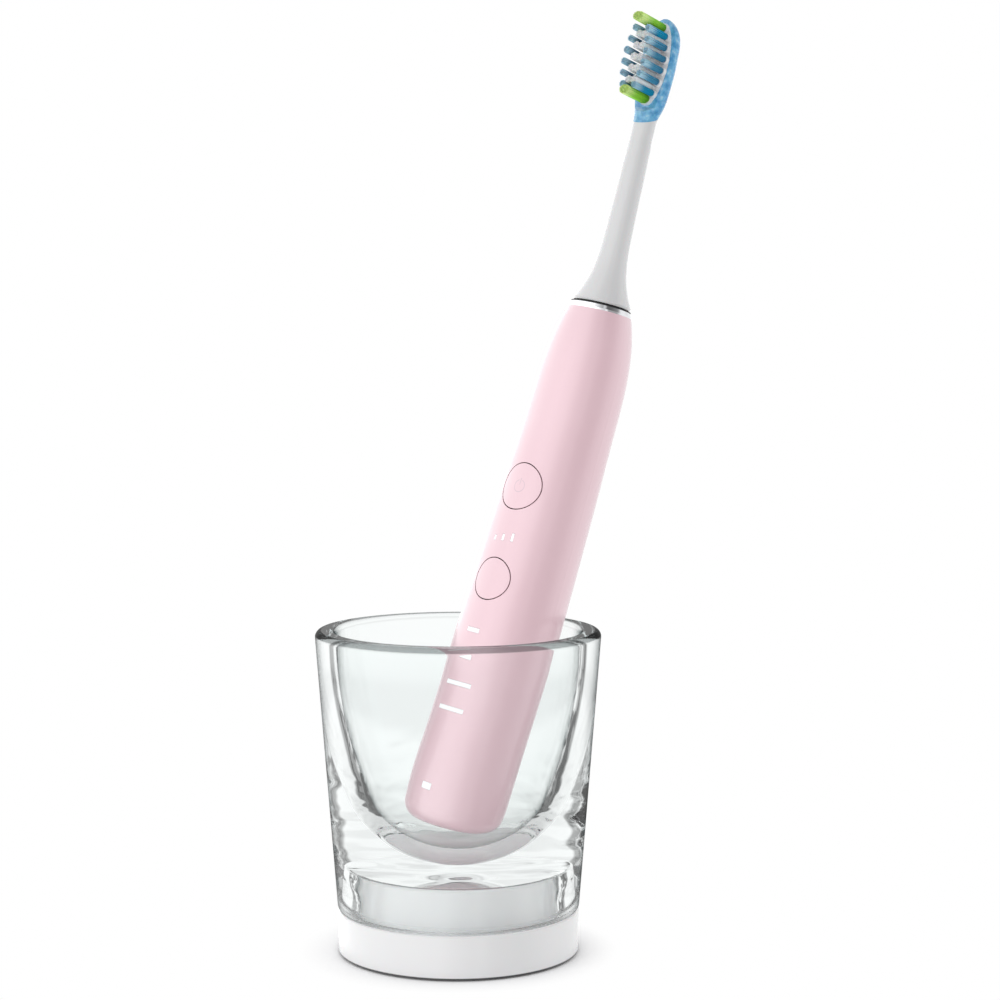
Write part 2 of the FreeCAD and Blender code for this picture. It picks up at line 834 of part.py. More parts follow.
def collar():
    """The bright ring and the rubber nose between the grip and the head. The nose ends in a
    thin lip that lies on the ring."""
    low = -size.ring_height
    height = size.ring_height - size.seal_lip
    keep(turned("chrome_ring", [
        (size.ring_bore_radius, 0), (size.ring_radius, 0), (size.ring_radius, height * 0.35),
        (size.ring_top_radius, height), (size.ring_bore_radius, height)],
        on_shaft(low)), "chrome_ring")
    bore = size.shaft_radius + size.shaft_fit
    body_height = size.housing_top_depth
    nose_radius = size.ring_bore_radius - size.part_gap
    lip = bore + 1.2
    keep(turned("nose_seal", [
        (bore, 0), (nose_radius, 0), (nose_radius, body_height - size.seal_lip),
        (size.ring_top_radius, body_height - size.seal_lip), (size.ring_top_radius, body_height),
        (lip + 0.8, body_height), (lip, body_height + 0.9), (bore, body_height + 0.9)],
        on_shaft(-size.housing_top_depth)), "nose_seal")


# ---------------------------------------------------------------- what the grip holds
def electronics():
    face = size.circuit_face
    length = size.circuit_end_depth - size.circuit_top_depth
    keep(block("control_board", 2 * size.circuit_half_width, size.circuit_thickness, length,
               GRIP, y=-face, z=PIVOT - size.circuit_end_depth), "control_board")
    switches = []
    for name, depth in (("power", size.power_depth), ("mode", size.mode_depth)):
        case = block(f"{name}_switch_case", size.switch_size, size.switch_height * 0.7,
                     size.switch_size, GRIP, y=-(face + size.switch_height * 0.7),
                     z=PIVOT - depth - size.switch_size / 2)
        plunger = cylinder(f"{name}_switch_plunger", size.switch_size / 4, size.switch_height,
                           on_grip(depth, y=-face, turn=FRONTWARDS))
        switches.append(fused(f"{name}_switch", case, plunger))
    keep(grouped("tact_switches", *switches), "tact_switches")
    lamps = [block(f"{name}_lamp", size.lamp_size, size.lamp_height, size.lamp_size, GRIP, x=x,
                   y=-(face + size.lamp_height), z=PIVOT - depth - size.lamp_size / 2)
             for name, _, _, depth, x in light_bars() if name != "charge_bar"]
    keep(grouped("indicator_lamps", *lamps), "indicator_lamps")


def inner_frame():
    """A trough behind the battery, with a collar at each end; the board lies on its edges."""
    length = size.frame_end_depth - size.frame_top_depth
    front = size.circuit_face - size.circuit_thickness
    outside = cylinder("frame_outside", size.frame_radius, length, on_grip(size.frame_end_depth))
    top_bore = size.palm_radius - size.handle_wall
    low_bore = size.belly_radius - size.handle_wall
    collars = [
        cylinder("frame_top_collar", top_bore - 2 * size.slip_gap, size.frame_collar_height,
                 on_grip(size.frame_top_depth + size.frame_collar_height)),
        cylinder("frame_low_collar", low_bore - 2 * size.slip_gap, size.frame_collar_height,
                 on_grip(size.frame_end_depth)),
    ]
    room = size.frame_radius - size.frame_wall
    below = size.battery_depth + size.battery_length
    clear = 2 * size.tab_thickness
    pocket = cylinder("battery_bay", room, size.battery_length + clear,
                      on_grip(below + size.tab_thickness))
    lower = cylinder("lead_bay", room, size.frame_end_depth - below - size.lower_web,
                     on_grip(size.frame_end_depth))
    upper = cylinder("drive_bay", room,
                     size.battery_depth - size.frame_top_depth - size.upper_web,
                     on_grip(size.battery_depth - size.upper_web))
    reach = 2 * size.frame_radius
    slab = block("frame_front_cut", 2 * reach, reach, 2 * length, GRIP, y=-(reach + front),
                 z=PIVOT - size.frame_end_depth - length / 2)
    keep(minus("inner_frame", fused("frame_form", outside, *collars),
               pocket, lower, upper, slab), "inner_frame")


def battery():
    back = size.battery_offset
    foot = size.battery_depth + size.battery_length
    can = cylinder("battery_can", size.battery_radius, size.battery_length - 1.2,
                   on_grip(foot, y=back))
    stud = cylinder("battery_stud", size.battery_radius / 3, 1.2,
                    on_grip(size.battery_depth + 1.2, y=back))
    keep(fused("battery_cell", can, stud), "battery_cell")
    tabs = []
    reach = size.battery_offset + size.circuit_face - size.circuit_thickness
    for name, depth in (("upper", size.battery_depth), ("lower", foot + size.tab_thickness)):
        tabs.append(block(f"{name}_tab", size.tab_width, reach, size.tab_thickness, GRIP,
                          y=-(size.circuit_face - size.circuit_thickness),
                          z=PIVOT - depth))
    keep(grouped("battery_tabs", *tabs), "battery_tabs")


def receiver():
    """The coil that picks up the charge, on a spool that stands on the end cap's floor."""
    foot_depth = size.handle_depth - size.cap_floor
    height = foot_depth - size.receiver_top_depth
    flange = size.receiver_flange
    hub = size.receiver_hub_radius
    rim = size.receiver_radius
    low = size.cap_floor
    keep(turned("receiver_spool", [
        (size.receiver_core_radius + size.part_gap, 0), (rim, 0), (rim, flange), (hub, flange),
        (hub, height - flange), (rim, height - flange), (rim, height),
        (size.receiver_core_radius + size.part_gap, height)],
        on_grip(foot_depth)), "receiver_spool")
    keep(tube("receiver_coil", rim - size.part_gap * 8, hub + size.part_gap,
              height - 2 * flange - 2 * size.part_gap,
              on_grip(foot_depth - flange - size.part_gap)), "receiver_coil")
    keep(cylinder("receiver_core", size.receiver_core_radius, height,
                  on_grip(size.handle_depth - low)), "receiver_core")


# ---------------------------------------------------------------- drive
def drive_housing():
    """The motor's tube with its bearings, its rear end closed by the torsion bar's mount."""
    length = size.housing_end_depth - size.housing_top_depth
    wall = size.housing_wall
    bore = size.housing_radius - wall
    hole = size.torsion_bar_radius + size.shaft_fit
    rear = 3 * wall
    keep(turned("drive_housing", [
        (hole, 0), (size.housing_radius, 0), (size.housing_radius, length), (bore, length),
        (bore, rear), (hole, rear)],
        on_shaft(-size.housing_end_depth)), "drive_housing")
    seats = (("front_bearing", size.housing_top_depth + size.bearing_length),
             ("rear_bearing", size.stator_top_depth - 1))
    for name, depth in seats:
        keep(tube(name, bore - size.part_gap, size.shaft_radius + size.shaft_fit,
                  size.bearing_length, on_shaft(-depth)), name)
    foot = size.stator_top_depth + size.stator_length
    stator_outer = bore - size.part_gap
    stator_inner = stator_outer - size.stator_wall
    keep(tube("stator_core", stator_outer, stator_inner, size.stator_length,
              on_shaft(-foot)), "stator_core")
    keep(tube("stator_coil", stator_inner - size.part_gap,
              size.armature_radius + size.magnet_height * 0.6, size.stator_coil_length,
              on_shaft(-(foot + size.stator_coil_gap + size.stator_coil_length))), "stator_coil")
    dampers = (("front_damper", size.front_damper_depth, size.shoulder_radius),
               ("rear_damper", size.rear_damper_depth, size.bend_radius))
    for name, depth, shell_radius in dampers:
        outer = cylinder(f"{name}_disc", shell_radius - size.handle_wall - size.slip_gap,
                         size.damper_length, on_grip(depth))
        inner = cylinder(f"{name}_hole", size.housing_radius + size.part_gap,
                         size.damper_length + 4, on_shaft(-(depth + 2)))
        keep(minus(name, outer, inner), name)


def drive_train():
    keep(cylinder("drive_shaft", size.shaft_radius, size.shaft_top + size.shaft_depth,
                  on_shaft(-size.shaft_depth)), "drive_shaft")
    foot = size.stator_top_depth + size.stator_length
    magnet_length = size.stator_length - 2
    yoke = tube("armature_form", size.armature_radius, size.shaft_radius + size.part_gap,
                size.stator_length, on_shaft(-foot))
    keep(yoke, "armature")
    magnets = []
    for name, side in (("left", -1), ("right", 1)):
        inner = float(size.armature_radius)
        height = float(size.magnet_height)
        x = side * (inner + height / 2)
        magnets.append(block(f"{name}_magnet", size.magnet_height * 0.9, size.magnet_width,
                             magnet_length, SHAFT, x=x, y=-size.magnet_width / 2,
                             z=-(foot - 1)))
    keep(grouped("drive_magnets", *magnets), "drive_magnets")
    bar_end = size.housing_end_depth - size.housing_wall / 2
    keep(cylinder("torsion_bar", size.torsion_bar_radius, bar_end - size.shaft_depth,
                  on_shaft(-bar_end)), "torsion_bar")


# ---------------------------------------------------------------- brush head
def head_sections():
    """Height, half width, half depth and forward bow of the head's oval sections. The first
    lies inside the stem."""
    full, deep, bow = (float(s) for s in (size.head_half_width, size.head_half_depth, size.head_bow))
    neck = float(size.neck_top_radius)
    foot, tip = float(size.neck_top_height), float(size.head_length)
    length = tip - foot
    rows = [(-0.15, 0.95 * neck, 0.95 * neck, 0), (0, 1.012 * neck, 1.005 * neck, 0),
            (0.065, 0.985 * neck, 0.97 * neck, 0.04 * bow),
            (0.13, 0.98 * neck, 0.94 * neck, 0.1 * bow),
            (0.19, 0.59 * full, 0.83 * deep, 0.18 * bow),
            (0.25, 0.62 * full, 0.83 * deep, 0.18 * bow),
            (0.305, 0.71 * full, 0.89 * deep, -0.1 * bow),
            (0.36, 0.82 * full, 0.96 * deep, -0.3 * bow),
            (0.435, 0.9 * full, 0.995 * deep, -0.28 * bow),
            (0.51, 0.95 * full, deep, -0.2 * bow), (0.66, full, deep, 0),
            (0.81, 0.97 * full, deep, 0.25 * bow), (0.92, 0.77 * full, 0.87 * deep, 0.9 * bow),
            (0.98, 0.4 * full, 0.57 * deep, 1.25 * bow), (1.0, 0.16 * full, 0.26 * deep, 1.4 * bow)]
    return [(foot + share * length, wide, thick, forward) for share, wide, thick, forward in rows]


def head_form():
    body = new_body("head_form", SHAFT)
    sketches = []
    for number, (height, wide, thick, forward) in enumerate(head_sections(), start=1):
        sketch = sketch_in(body, f"head_section_{number}", "XY_Plane",
                           Placement(Vector(0, -forward, height), Rotation()))
        oval = (Part.Circle(Vector(), Vector(0, 0, 1), wide) if abs(wide - thick) < 1e-6 else
                Part.Ellipse(Vector(wide, 0, 0), Vector(0, thick, 0), Vector())
                if wide > thick else
                Part.Ellipse(Vector(0, thick, 0), Vector(wide, 0, 0), Vector()))
        sketch.addGeometry(oval, False)
        sketches.append(sketch)
    loft = body.newObject("PartDesign::AdditiveLoft", "head_loft")
    loft.Profile = sketches[0]
    loft.Sections = sketches[1:]
    return body


def split_block(name, above):
    """A large block on one side of the slanted line where the neck meets the head's cover."""
    tilt = Rotation(Vector(1, 0, 0), float(size.cover_split_tilt))
    place = moved(SHAFT, z=size.cover_split, turn=tilt)
    reach = size.head_length / 2
    return block(name, reach, reach, reach, place, y=-reach / 2, z=0 if above else -reach)


def neck():
    """The white stem: a flared base over the drive shaft, a slim stem, and a flat core that
    runs on inside the head's cover."""
    low = float(size.head_gap)
    wide, waist, slim = (float(s) for s in (size.neck_base_radius, size.neck_waist_radius,
                                           size.neck_top_radius))
    rise, top = float(size.neck_waist_height), float(size.neck_top_height)
    flare = Part.BSplineCurve()
    flare.interpolate([Vector(wide, low + 0.7, 0), Vector(0.815 * wide, low + 3.9, 0),
                       Vector(0.6 * wide, low + 0.44 * rise, 0), Vector(waist, rise, 0),
                       Vector((waist + slim) / 2, (rise + top) / 2, 0), Vector(slim, top, 0)])
    stem = turned_curve("stem_form", [
        line((0, low), (wide - 0.3, low)), line((wide - 0.3, low), (wide, low + 0.7)), flare,
        line((slim, top), (0, top)), line((0, top), (0, low))], SHAFT)
    upper = shared("neck_upper", HEAD, split_block("below_split", above=False))
    core = block("neck_core", 2 * size.core_half_width, size.core_thickness,
                 size.head_length - size.neck_top_height - size.core_end_gap, SHAFT,
                 y=-float(size.face_offset - size.plate_depth - size.part_gap),
                 z=size.neck_top_height)
    socket = cylinder("neck_socket", size.neck_socket_radius,
                      size.sleeve_start + size.sleeve_length, on_shaft(size.head_gap))
    cavity = cone("neck_cavity", size.neck_cavity_radius, size.neck_socket_radius,
                  size.neck_cavity_height, on_shaft(size.head_gap))
    whole = fused("neck_form", stem, upper, core)
    keep(minus("neck", whole, socket, cavity), "neck")
    return core


def coupling():
    """The grey sleeve that grips the shaft, and the tag coil under its flange."""
    start = size.sleeve_start
    flange = size.sleeve_flange_radius
    bore = size.shaft_radius + size.shaft_fit
    outer = size.neck_socket_radius - size.part_gap
    low = size.sleeve_flange_rise
    high = low + size.sleeve_flange_thickness
    keep(turned("coupling_sleeve", [
        (bore, 0), (outer, 0), (outer, low), (flange, low), (flange, high), (outer, high),
        (outer, size.sleeve_length), (bore, size.sleeve_length)],
        on_shaft(start)), "coupling_sleeve")
    keep(tube("tag_coil", flange, outer + size.part_gap, low - 2 * size.part_gap,
              on_shaft(start + size.part_gap)), "tag_coil")


def tuft_field():
    """Places of the round tufts: the blue rows, and the white ones between them."""
    pitch = float(size.tuft_pitch)
    middle = float(size.tuft_field_centre)
    inner = float(size.white_tuft_side)
    widest = float(size.plate_half_width - size.tuft_radius - size.tuft_edge)
    second = widest - float(size.second_row_inset)
    tip, heel = widest - float(size.tip_row_inset), widest - float(size.heel_row_inset)
    sides = (tip, second, widest, widest, second, heel)
    heights = [middle + (2.5 - number) * pitch for number in range(6)]
    blue = [(side * x, z) for x, z in zip(sides, heights) for side in (-1, 1)]
    white = [(side * inner, z - pitch / 2) for z in heights[:-1] for side in (-1, 1)]
    return blue, white


def bristles(core):
    face = float(size.face_offset)
    root = face - float(size.tuft_root)
    middle = float(size.plate_centre)
    reach = float(size.head_length) / 2
    face_cut = block("face_cut", reach, reach, reach, SHAFT, y=-(reach + face),
                     z=size.face_start)
    ramp = moved(SHAFT, y=-face, z=size.face_start,
                 turn=Rotation(Vector(1, 0, 0), float(size.face_ramp)))
    ramp_cut = block("ramp_cut", reach, reach, reach, ramp, y=-reach)
    oval = doc.addObject("Part::Ellipse", "plate_outline")
    bind(oval, MajorRadius=size.plate_half_length, MinorRadius=size.plate_half_width)
    oval.Placement = moved(SHAFT, y=-face, z=middle,
                           turn=FRONTWARDS * Rotation(Vector(0, 0, 1), 90))

    def plate_solid(name, depth):
        solid = doc.addObject("Part::Extrusion", name)
        solid.Base = oval
        solid.DirMode = "Custom"
        solid.Dir = SHAFT.Rotation.multVec(Vector(0, 1, 0))
        solid.Solid = True
        bind(solid, LengthFwd=depth)
        return solid

    pocket = plate_solid("plate_pocket", size.plate_depth + size.part_gap)
    half = shared("cover_upper", HEAD, split_block("above_split", above=True))
    keep(minus("head_cover", half, face_cut, ramp_cut, pocket, core), "head_cover")

    blue, white = tuft_field()
    holes, tufts = [], {"blue": [], "white": []}
    for colour, spots, radius, length in (
            ("blue", blue, size.tuft_radius, size.tuft_length),
            ("white", white, size.white_tuft_radius, size.white_tuft_length)):
        for number, (x, z) in enumerate(spots, start=1):
            place = moved(SHAFT, x, -root, z, FRONTWARDS)
            tufts[colour].append(cylinder(f"{colour}_tuft_{number}", radius,
                                          size.tuft_root + length, place))
            holes.append(cylinder(f"{colour}_tuft_hole_{number}",
                                  radius + size.part_gap, size.tuft_root * 3, place))
    ends = []
    for name, up, length in (("tip", size.tip_tuft_height, size.tip_tuft_length),
                             ("heel", size.heel_tuft_height, size.heel_tuft_length)):
        place = moved(SHAFT, 0, -root, up, FRONTWARDS)
        for suffix, gap, height in (("tuft", 0, size.tuft_root + length),
                                    ("tuft_hole", size.part_gap, size.tuft_root * 3)):
            oval_tuft = doc.addObject("Part::Ellipse", f"{name}_{suffix}_outline")
            bind(oval_tuft, MajorRadius=size.end_tuft_half_width + gap,
                 MinorRadius=size.end_tuft_half_height + gap)
            oval_tuft.Placement = place
            solid = doc.addObject("Part::Extrusion", f"{name}_{suffix}")
            solid.Base = oval_tuft
            solid.DirMode = "Custom"
            solid.Dir = SHAFT.Rotation.multVec(Vector(0, -1, 0))
            solid.Solid = True
            bind(solid, LengthFwd=height)
            (ends if suffix == "tuft" else holes).append(solid)
    keep(minus("tuft_plate", plate_solid("plate_form", size.plate_depth), *holes),
         "tuft_plate")
    keep(grouped("blue_tufts", *tufts["blue"]), "blue_tufts")
    keep(grouped("white_tufts", *tufts["white"]), "white_tufts")
    keep(grouped("green_tufts", *ends), "green_tufts")


charging_base()
charging_glass()
handle()
end_cap()
collar()
electronics()
inner_frame()
battery()
receiver()
drive_housing()
drive_train()
HEAD = head_form()
CORE = neck()
coupling()
bristles(CORE)
doc.recompute()

for item in doc.Objects:
    if "Invalid" in item.State or "Error" in item.State:
        raise RuntimeError(f"{item.Label} failed: {item.State}")
for cut, base in CUTS:
    if cut.Shape.Volume > base.Shape.Volume - 1e-3:
        raise RuntimeError(f"{cut.Label} cut nothing away")
for label, item in NODES.items():
    if item.Shape.isNull() or not item.Shape.isValid() or not item.Shape.Solids:
        raise RuntimeError(f"{label} is not a sound solid")

os.makedirs("parts", exist_ok=True)
for label, item in NODES.items():
    item.Shape.exportStep(f"parts/{label}.step")
    box = item.Shape.BoundBox
    print(f"{label:20s} solids {len(item.Shape.Solids):2d} volume {item.Shape.Volume:10.1f}"
          f"  z {box.ZMin:7.2f} {box.ZMax:7.2f}")
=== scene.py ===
import json
import math

import bpy
from bpy.props import FloatProperty, FloatVectorProperty, IntProperty, PointerProperty
from mathutils import Matrix, Vector


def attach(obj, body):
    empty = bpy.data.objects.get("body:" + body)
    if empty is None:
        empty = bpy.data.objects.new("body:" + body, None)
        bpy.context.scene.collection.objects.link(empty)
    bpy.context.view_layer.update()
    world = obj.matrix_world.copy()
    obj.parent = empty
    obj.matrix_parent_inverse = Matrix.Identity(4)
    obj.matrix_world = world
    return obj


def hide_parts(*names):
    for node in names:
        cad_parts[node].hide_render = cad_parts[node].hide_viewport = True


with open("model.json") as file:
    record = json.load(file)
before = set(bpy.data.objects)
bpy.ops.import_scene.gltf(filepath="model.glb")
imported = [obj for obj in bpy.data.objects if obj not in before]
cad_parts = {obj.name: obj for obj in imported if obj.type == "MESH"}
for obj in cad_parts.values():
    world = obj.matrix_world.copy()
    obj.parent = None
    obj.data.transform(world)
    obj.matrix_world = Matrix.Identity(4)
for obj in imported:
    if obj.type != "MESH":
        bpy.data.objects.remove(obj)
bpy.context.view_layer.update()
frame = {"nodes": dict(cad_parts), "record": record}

bl_info = {
    "name": "Electric toothbrush on charger",
    "version": (1, 0),
    "blender": (4, 5, 0),
    "location": "View3D > Sidebar > Toothbrush",
    "description": "Dresses the toothbrush, its glass and its charging base, and lights them",
    "category": "Object",
}

MM = 0.001
TO_MM = 1000


# ---------------------------------------------------------------- where things are
def joint(name):
    return next(j for j in frame["record"]["behaviour"]["joints"] if j["name"] == name)


def columns(across, inward, up, origin):
    """A placement whose X, Y and Z are the three directions."""
    turn = Matrix((across, inward, up)).transposed().to_4x4()
    return Matrix.Translation(origin) @ turn


def brush_frames(bend_pivot):
    """The shaft's frame, at the seat of the brush head, and the grip's frame at the bend. In
    both, Z runs up the brush and -Y is the side of the bristles and buttons."""
    drive = joint("drive_oscillation")
    seat, up = Vector(drive["pos_m"]), Vector(drive["axis"]).normalized()
    inward = Vector(joint("power_press")["axis"]).normalized()
    across = inward.cross(up).normalized()
    shaft = columns(across, up.cross(across), up, seat)
    grip = columns(across, inward, across.cross(inward), seat - up * bend_pivot)
    return shaft, grip


HOME = Matrix.Identity(4)
BEND_PIVOT = 19.95 * MM
SHAFT, GRIP = brush_frames(BEND_PIVOT)
TO_FRONT = Matrix.Rotation(math.radians(90), 4, "X")


# ---------------------------------------------------------------- objects
def active():
    return bpy.context.view_layer.objects.active


def nothing_selected():
    bpy.ops.object.select_all(action="DESELECT")


def only(*objects):
    """Selects these objects alone, the first of them active."""
    nothing_selected()
    for obj in objects:
        obj.select_set(True)
    bpy.context.view_layer.objects.active = objects[0]


def settled(obj, place=HOME):
    """Puts the object at a place and leaves that place in its mesh."""
    only(obj)
    obj.matrix_world = place @ obj.matrix_world
    bpy.ops.object.transform_apply(location=True, rotation=True, scale=True)
    return obj


def joined(name, objects):
    only(*objects)
    if len(objects) > 1:
        bpy.ops.object.join()
    obj = active()
    obj.name = name
    obj.data.name = name
    return obj


def copied(obj, place):
    """A copy of the object at a place of its own."""
    only(obj)
    bpy.ops.object.duplicate()
    copy = active()
    copy.matrix_world = place @ obj.matrix_world
    return copy


def removed(obj):
    only(obj)
    bpy.ops.object.delete()


def modified(obj, kind, **settings):
    """Adds a modifier to the object and applies it."""
    only(obj)
    modifier = obj.modifiers.new(kind.title(), kind)
    for name, value in settings.items():
        setattr(modifier, name, value)
    bpy.ops.object.modifier_apply(modifier=modifier.name)
    return obj


def smooth(obj, degrees=35):
    only(obj)
    bpy.ops.object.shade_smooth_by_angle(angle=math.radians(degrees))
    return obj


def lathe(name, profile, segments):
    """A closed turned form from points of radius and height that begin and end near the axis."""
    radius, height = profile[0]
    nothing_selected()
    bpy.ops.mesh.primitive_circle_add(vertices=segments, radius=radius, fill_type="NGON",
                                      location=(0, 0, height))
    obj = active()
    bpy.ops.object.transform_apply(location=True, rotation=False, scale=False)
    bpy.ops.object.mode_set(mode="EDIT")
    bpy.ops.mesh.select_all(action="SELECT")
    for new_radius, new_height in profile[1:]:
        rise = (0, 0, new_height - height)
        bpy.ops.mesh.extrude_region_move(TRANSFORM_OT_translate={"value": rise})
        grow = new_radius / radius
        bpy.ops.transform.resize(value=(grow, grow, 1), center_override=(0, 0, new_height))
        radius, height = new_radius, new_height
    bpy.ops.mesh.select_all(action="SELECT")
    bpy.ops.mesh.normals_make_consistent(inside=False)
    bpy.ops.object.mode_set(mode="OBJECT")
    obj.name = name
    obj.data.name = name
    return settled(smooth(obj))


def arc(centre, radius, start, end, steps):
    """Points of an arc between two angles in degrees."""
    angles = [math.radians(start + (end - start) * n / steps) for n in range(steps + 1)]
    return [(centre[0] + radius * math.cos(a), centre[1] + radius * math.sin(a)) for a in angles]


def belongs(obj, body, slot, *nodes):
    """Ties a finished piece to its moving body and hides the nodes it stands for.
    The slot is not used.
    """
    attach(obj, body)
    if nodes:
        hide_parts(*nodes)


# ---------------------------------------------------------------- materials
def tint(red, green, blue):
    """A colour in 0 to 255 display values as the linear colour that a shader takes."""
    shares = [value / 255 for value in (red, green, blue)]
    return (*[s / 12.92 if s <= 0.04045 else ((s + 0.055) / 1.055) ** 2.4 for s in shares], 1)


class Signal:
    """A shader socket that can be used in plain arithmetic."""

    def __init__(self, tree, socket):
        self.tree = tree
        self.socket = socket

    def math(self, operation, *values):
        return made(self.tree, "ShaderNodeMath", 0, dict(enumerate((self, *values))),
                    operation=operation)

    def __add__(self, other):
        return self.math("ADD", other)

    def __sub__(self, other):
        return self.math("SUBTRACT", other)

    def __rsub__(self, other):
        return made(self.tree, "ShaderNodeMath", 0, {0: other, 1: self}, operation="SUBTRACT")

    def __mul__(self, other):
        return self.math("MULTIPLY", other)

    __radd__ = __add__
    __rmul__ = __mul__

    def size(self):
        return self.math("ABSOLUTE")

    def capped(self):
        return self.math("MINIMUM", 1.0).math("MAXIMUM", 0.0)

    def rising(self, low, high):
        """0 below low, 1 above high, and smooth between."""
        return made(self.tree, "ShaderNodeMapRange", "Result",
                    {"Value": self, "From Min": low, "From Max": high},
                    interpolation_type="SMOOTHSTEP")

    def near(self, centre, half, soft):
        """1 within a distance of the centre, falling to 0 over a soft edge."""
        return 1 - (self - centre).size().rising(half, half + soft)


def feed(socket, value):
    """Gives a socket a link where the value is a signal, and else the value itself."""
    if isinstance(value, Signal):
        value.tree.links.new(value.socket, socket)
    else:
        socket.default_value = value


def made(tree, kind, output, sockets=None, **settings):
    """Adds a node with its settings and the values or links of its sockets, and gives one of
    its outputs."""
    node = tree.nodes.new(kind)
    for name, value in settings.items():
        setattr(node, name, value)
    for name, value in (sockets or {}).items():
        feed(node.inputs[name], value)
    return Signal(tree, node.outputs[output])


def rays(tree, *kinds):
    """1 for rays of these kinds, and 0 for the others."""
    return sum(made(tree, "ShaderNodeLightPath", f"Is {kind} Ray") for kind in kinds).capped()


def distance(across, along):
    """How far a point lies from the origin of two axes."""
    return (across * across + along * along).math("SQRT")


class Finish:
    """A procedural material under construction."""

    def __init__(self, name, **uniform):
        self.material = bpy.data.materials.new(name)
        self.material.use_nodes = True
        self.tree = self.material.node_tree
        self.shader = self.tree.nodes["Principled BSDF"]
        self.output = self.tree.nodes["Material Output"]
        for socket, value in uniform.items():
            self.shader.inputs[socket.replace("_", " ")].default_value = value
        self.point = self.made("ShaderNodeTexCoord", "Object")

    def made(self, kind, output, sockets=None, **settings):
        return made(self.tree, kind, output, sockets, **settings)

    def vary(self, name, value):
        feed(self.shader.inputs[name], value)

    def rays(self, *kinds):
        """1 for rays of these kinds, and 0 for the others."""
        return rays(self.tree, *kinds)

    def noise(self, per_metre, detail=2.0, stretch=None):
        """Noise from 0 to 1, about 0.5, with a number of spots to the metre."""
        source = self.point
        if stretch:
            source = self.made("ShaderNodeMapping", "Vector", {"Vector": source, "Scale": stretch})
        return self.made("ShaderNodeTexNoise", "Fac",
                         {"Vector": source, "Scale": per_metre, "Detail": detail})

    def axes(self, place):
        """The point's X, Y and Z in a frame, in millimetres."""
        offset = self.made("ShaderNodeVectorMath", 0,
                           {0: self.point, 1: place.to_translation()}, operation="SUBTRACT")
        return [self.made("ShaderNodeVectorMath", "Value", {0: offset, 1: direction},
                          operation="DOT_PRODUCT") * TO_MM
                for direction in place.to_3x3().col]

    def mixed(self, first, second, share):
        """The first colour, turning into the second as the share goes from 0 to 1."""
        return self.made("ShaderNodeMix", 2, {0: share, 6: first, 7: second}, data_type="RGBA")

    def painted(self, colour, share):
        """Lays a colour over the present one as the share goes from 0 to 1."""
        present = Signal(self.tree, self.shader.inputs["Base Color"].links[0].from_socket)
        self.vary("Base Color", self.mixed(present, colour, share))

    def blended(self, other, share):
        """Turns the surface into the other shader as the share goes from 0 to 1."""
        surface = self.output.inputs["Surface"]
        present = Signal(self.tree, surface.links[0].from_socket)
        feed(surface, self.made("ShaderNodeMixShader", 0, {0: share, 1: present, 2: other}))

    def bumpy(self, height, depth):
        """Raises the surface by a height signal times a depth in metres."""
        self.vary("Normal", self.made("ShaderNodeBump", "Normal",
                                      {"Height": height, "Distance": depth}))


def wear(node, finish):
    """Gives a CAD node its finish in every material slot."""
    obj = frame["nodes"][node]
    for slot in obj.material_slots:
        slot.material = finish.material


def dress(obj, finish):
    """Gives a new piece its finish."""
    obj.data.materials.clear()
    obj.data.materials.append(finish.material)


def mottled(name, colour, rough, spots=400.0, depth=0.04, **uniform):
    """A plain finish whose colour and roughness vary a little from place to place."""
    finish = Finish(name, **uniform)
    cloud = finish.noise(spots)
    darker = tuple(channel * (1 - depth) for channel in colour[:3]) + (1,)
    finish.vary("Base Color", finish.mixed(darker, colour, cloud))
    finish.vary("Roughness", cloud * (rough * 0.2) + rough * 0.9)
    return finish


def white_gloss(name, colour):
    return mottled(name, colour, 0.22, spots=90.0, depth=0.02, Coat_Weight=0.5,
                   Coat_Roughness=0.08, Subsurface_Weight=0.05, Subsurface_Scale=0.002)


# Half the width of the dark line round a button, its soft edge, and how far inward from the
# grip's middle the front skin ends, in millimetres.
LINE_HALF, LINE_SOFT = 0.12, 0.05
FRONT_SKIN = (-6.0, -4.0)


def button_plane(finish, depth):
    """Sideways and upward places from a point on the grip's front at a depth down the grip, the
    distance from it, and how far inward."""
    x, y, z = finish.axes(GRIP)
    rise = z - (BEND_PIVOT * TO_MM - depth)
    return x, rise, distance(x, rise), y


def pearl(name, rings, settings):
    """Satin pink with a fine pearl fleck. Each ring is a depth down the grip and a radius, and
    is drawn as the dark line of the gap round a button."""
    finish = Finish(name, IOR=1.5, Specular_IOR_Level=1.0, Coat_Weight=1.0, Coat_IOR=1.8,
                    Coat_Roughness=0.25)
    fleck_share, rough, fleck_rough = 0.3, 0.36, 0.06
    fleck = finish.noise(9000.0, detail=1.0)
    cloud = finish.noise(45.0)
    pale = cloud * (1 - fleck_share) + fleck * fleck_share
    finish.vary("Base Color", finish.mixed(settings.handle_shade, settings.handle_colour, pale))
    finish.vary("Roughness", fleck * fleck_rough + rough)
    for depth, radius in rings:
        _, _, reach, inward = button_plane(finish, depth)
        front = 1 - inward.rising(*FRONT_SKIN)
        finish.painted(settings.gap_colour, reach.near(radius, LINE_HALF, LINE_SOFT) * front)
    return finish


# ---------------------------------------------------------------- pieces
POWER_DEPTH, POWER_RADIUS = 57.6, 6.7
MODE_DEPTH, MODE_RADIUS = 85.1, 6.0
BUTTON_GAP = 0.3
POWER_RING = (POWER_DEPTH, POWER_RADIUS + BUTTON_GAP / 2)
MODE_RING = (MODE_DEPTH, MODE_RADIUS + BUTTON_GAP / 2)


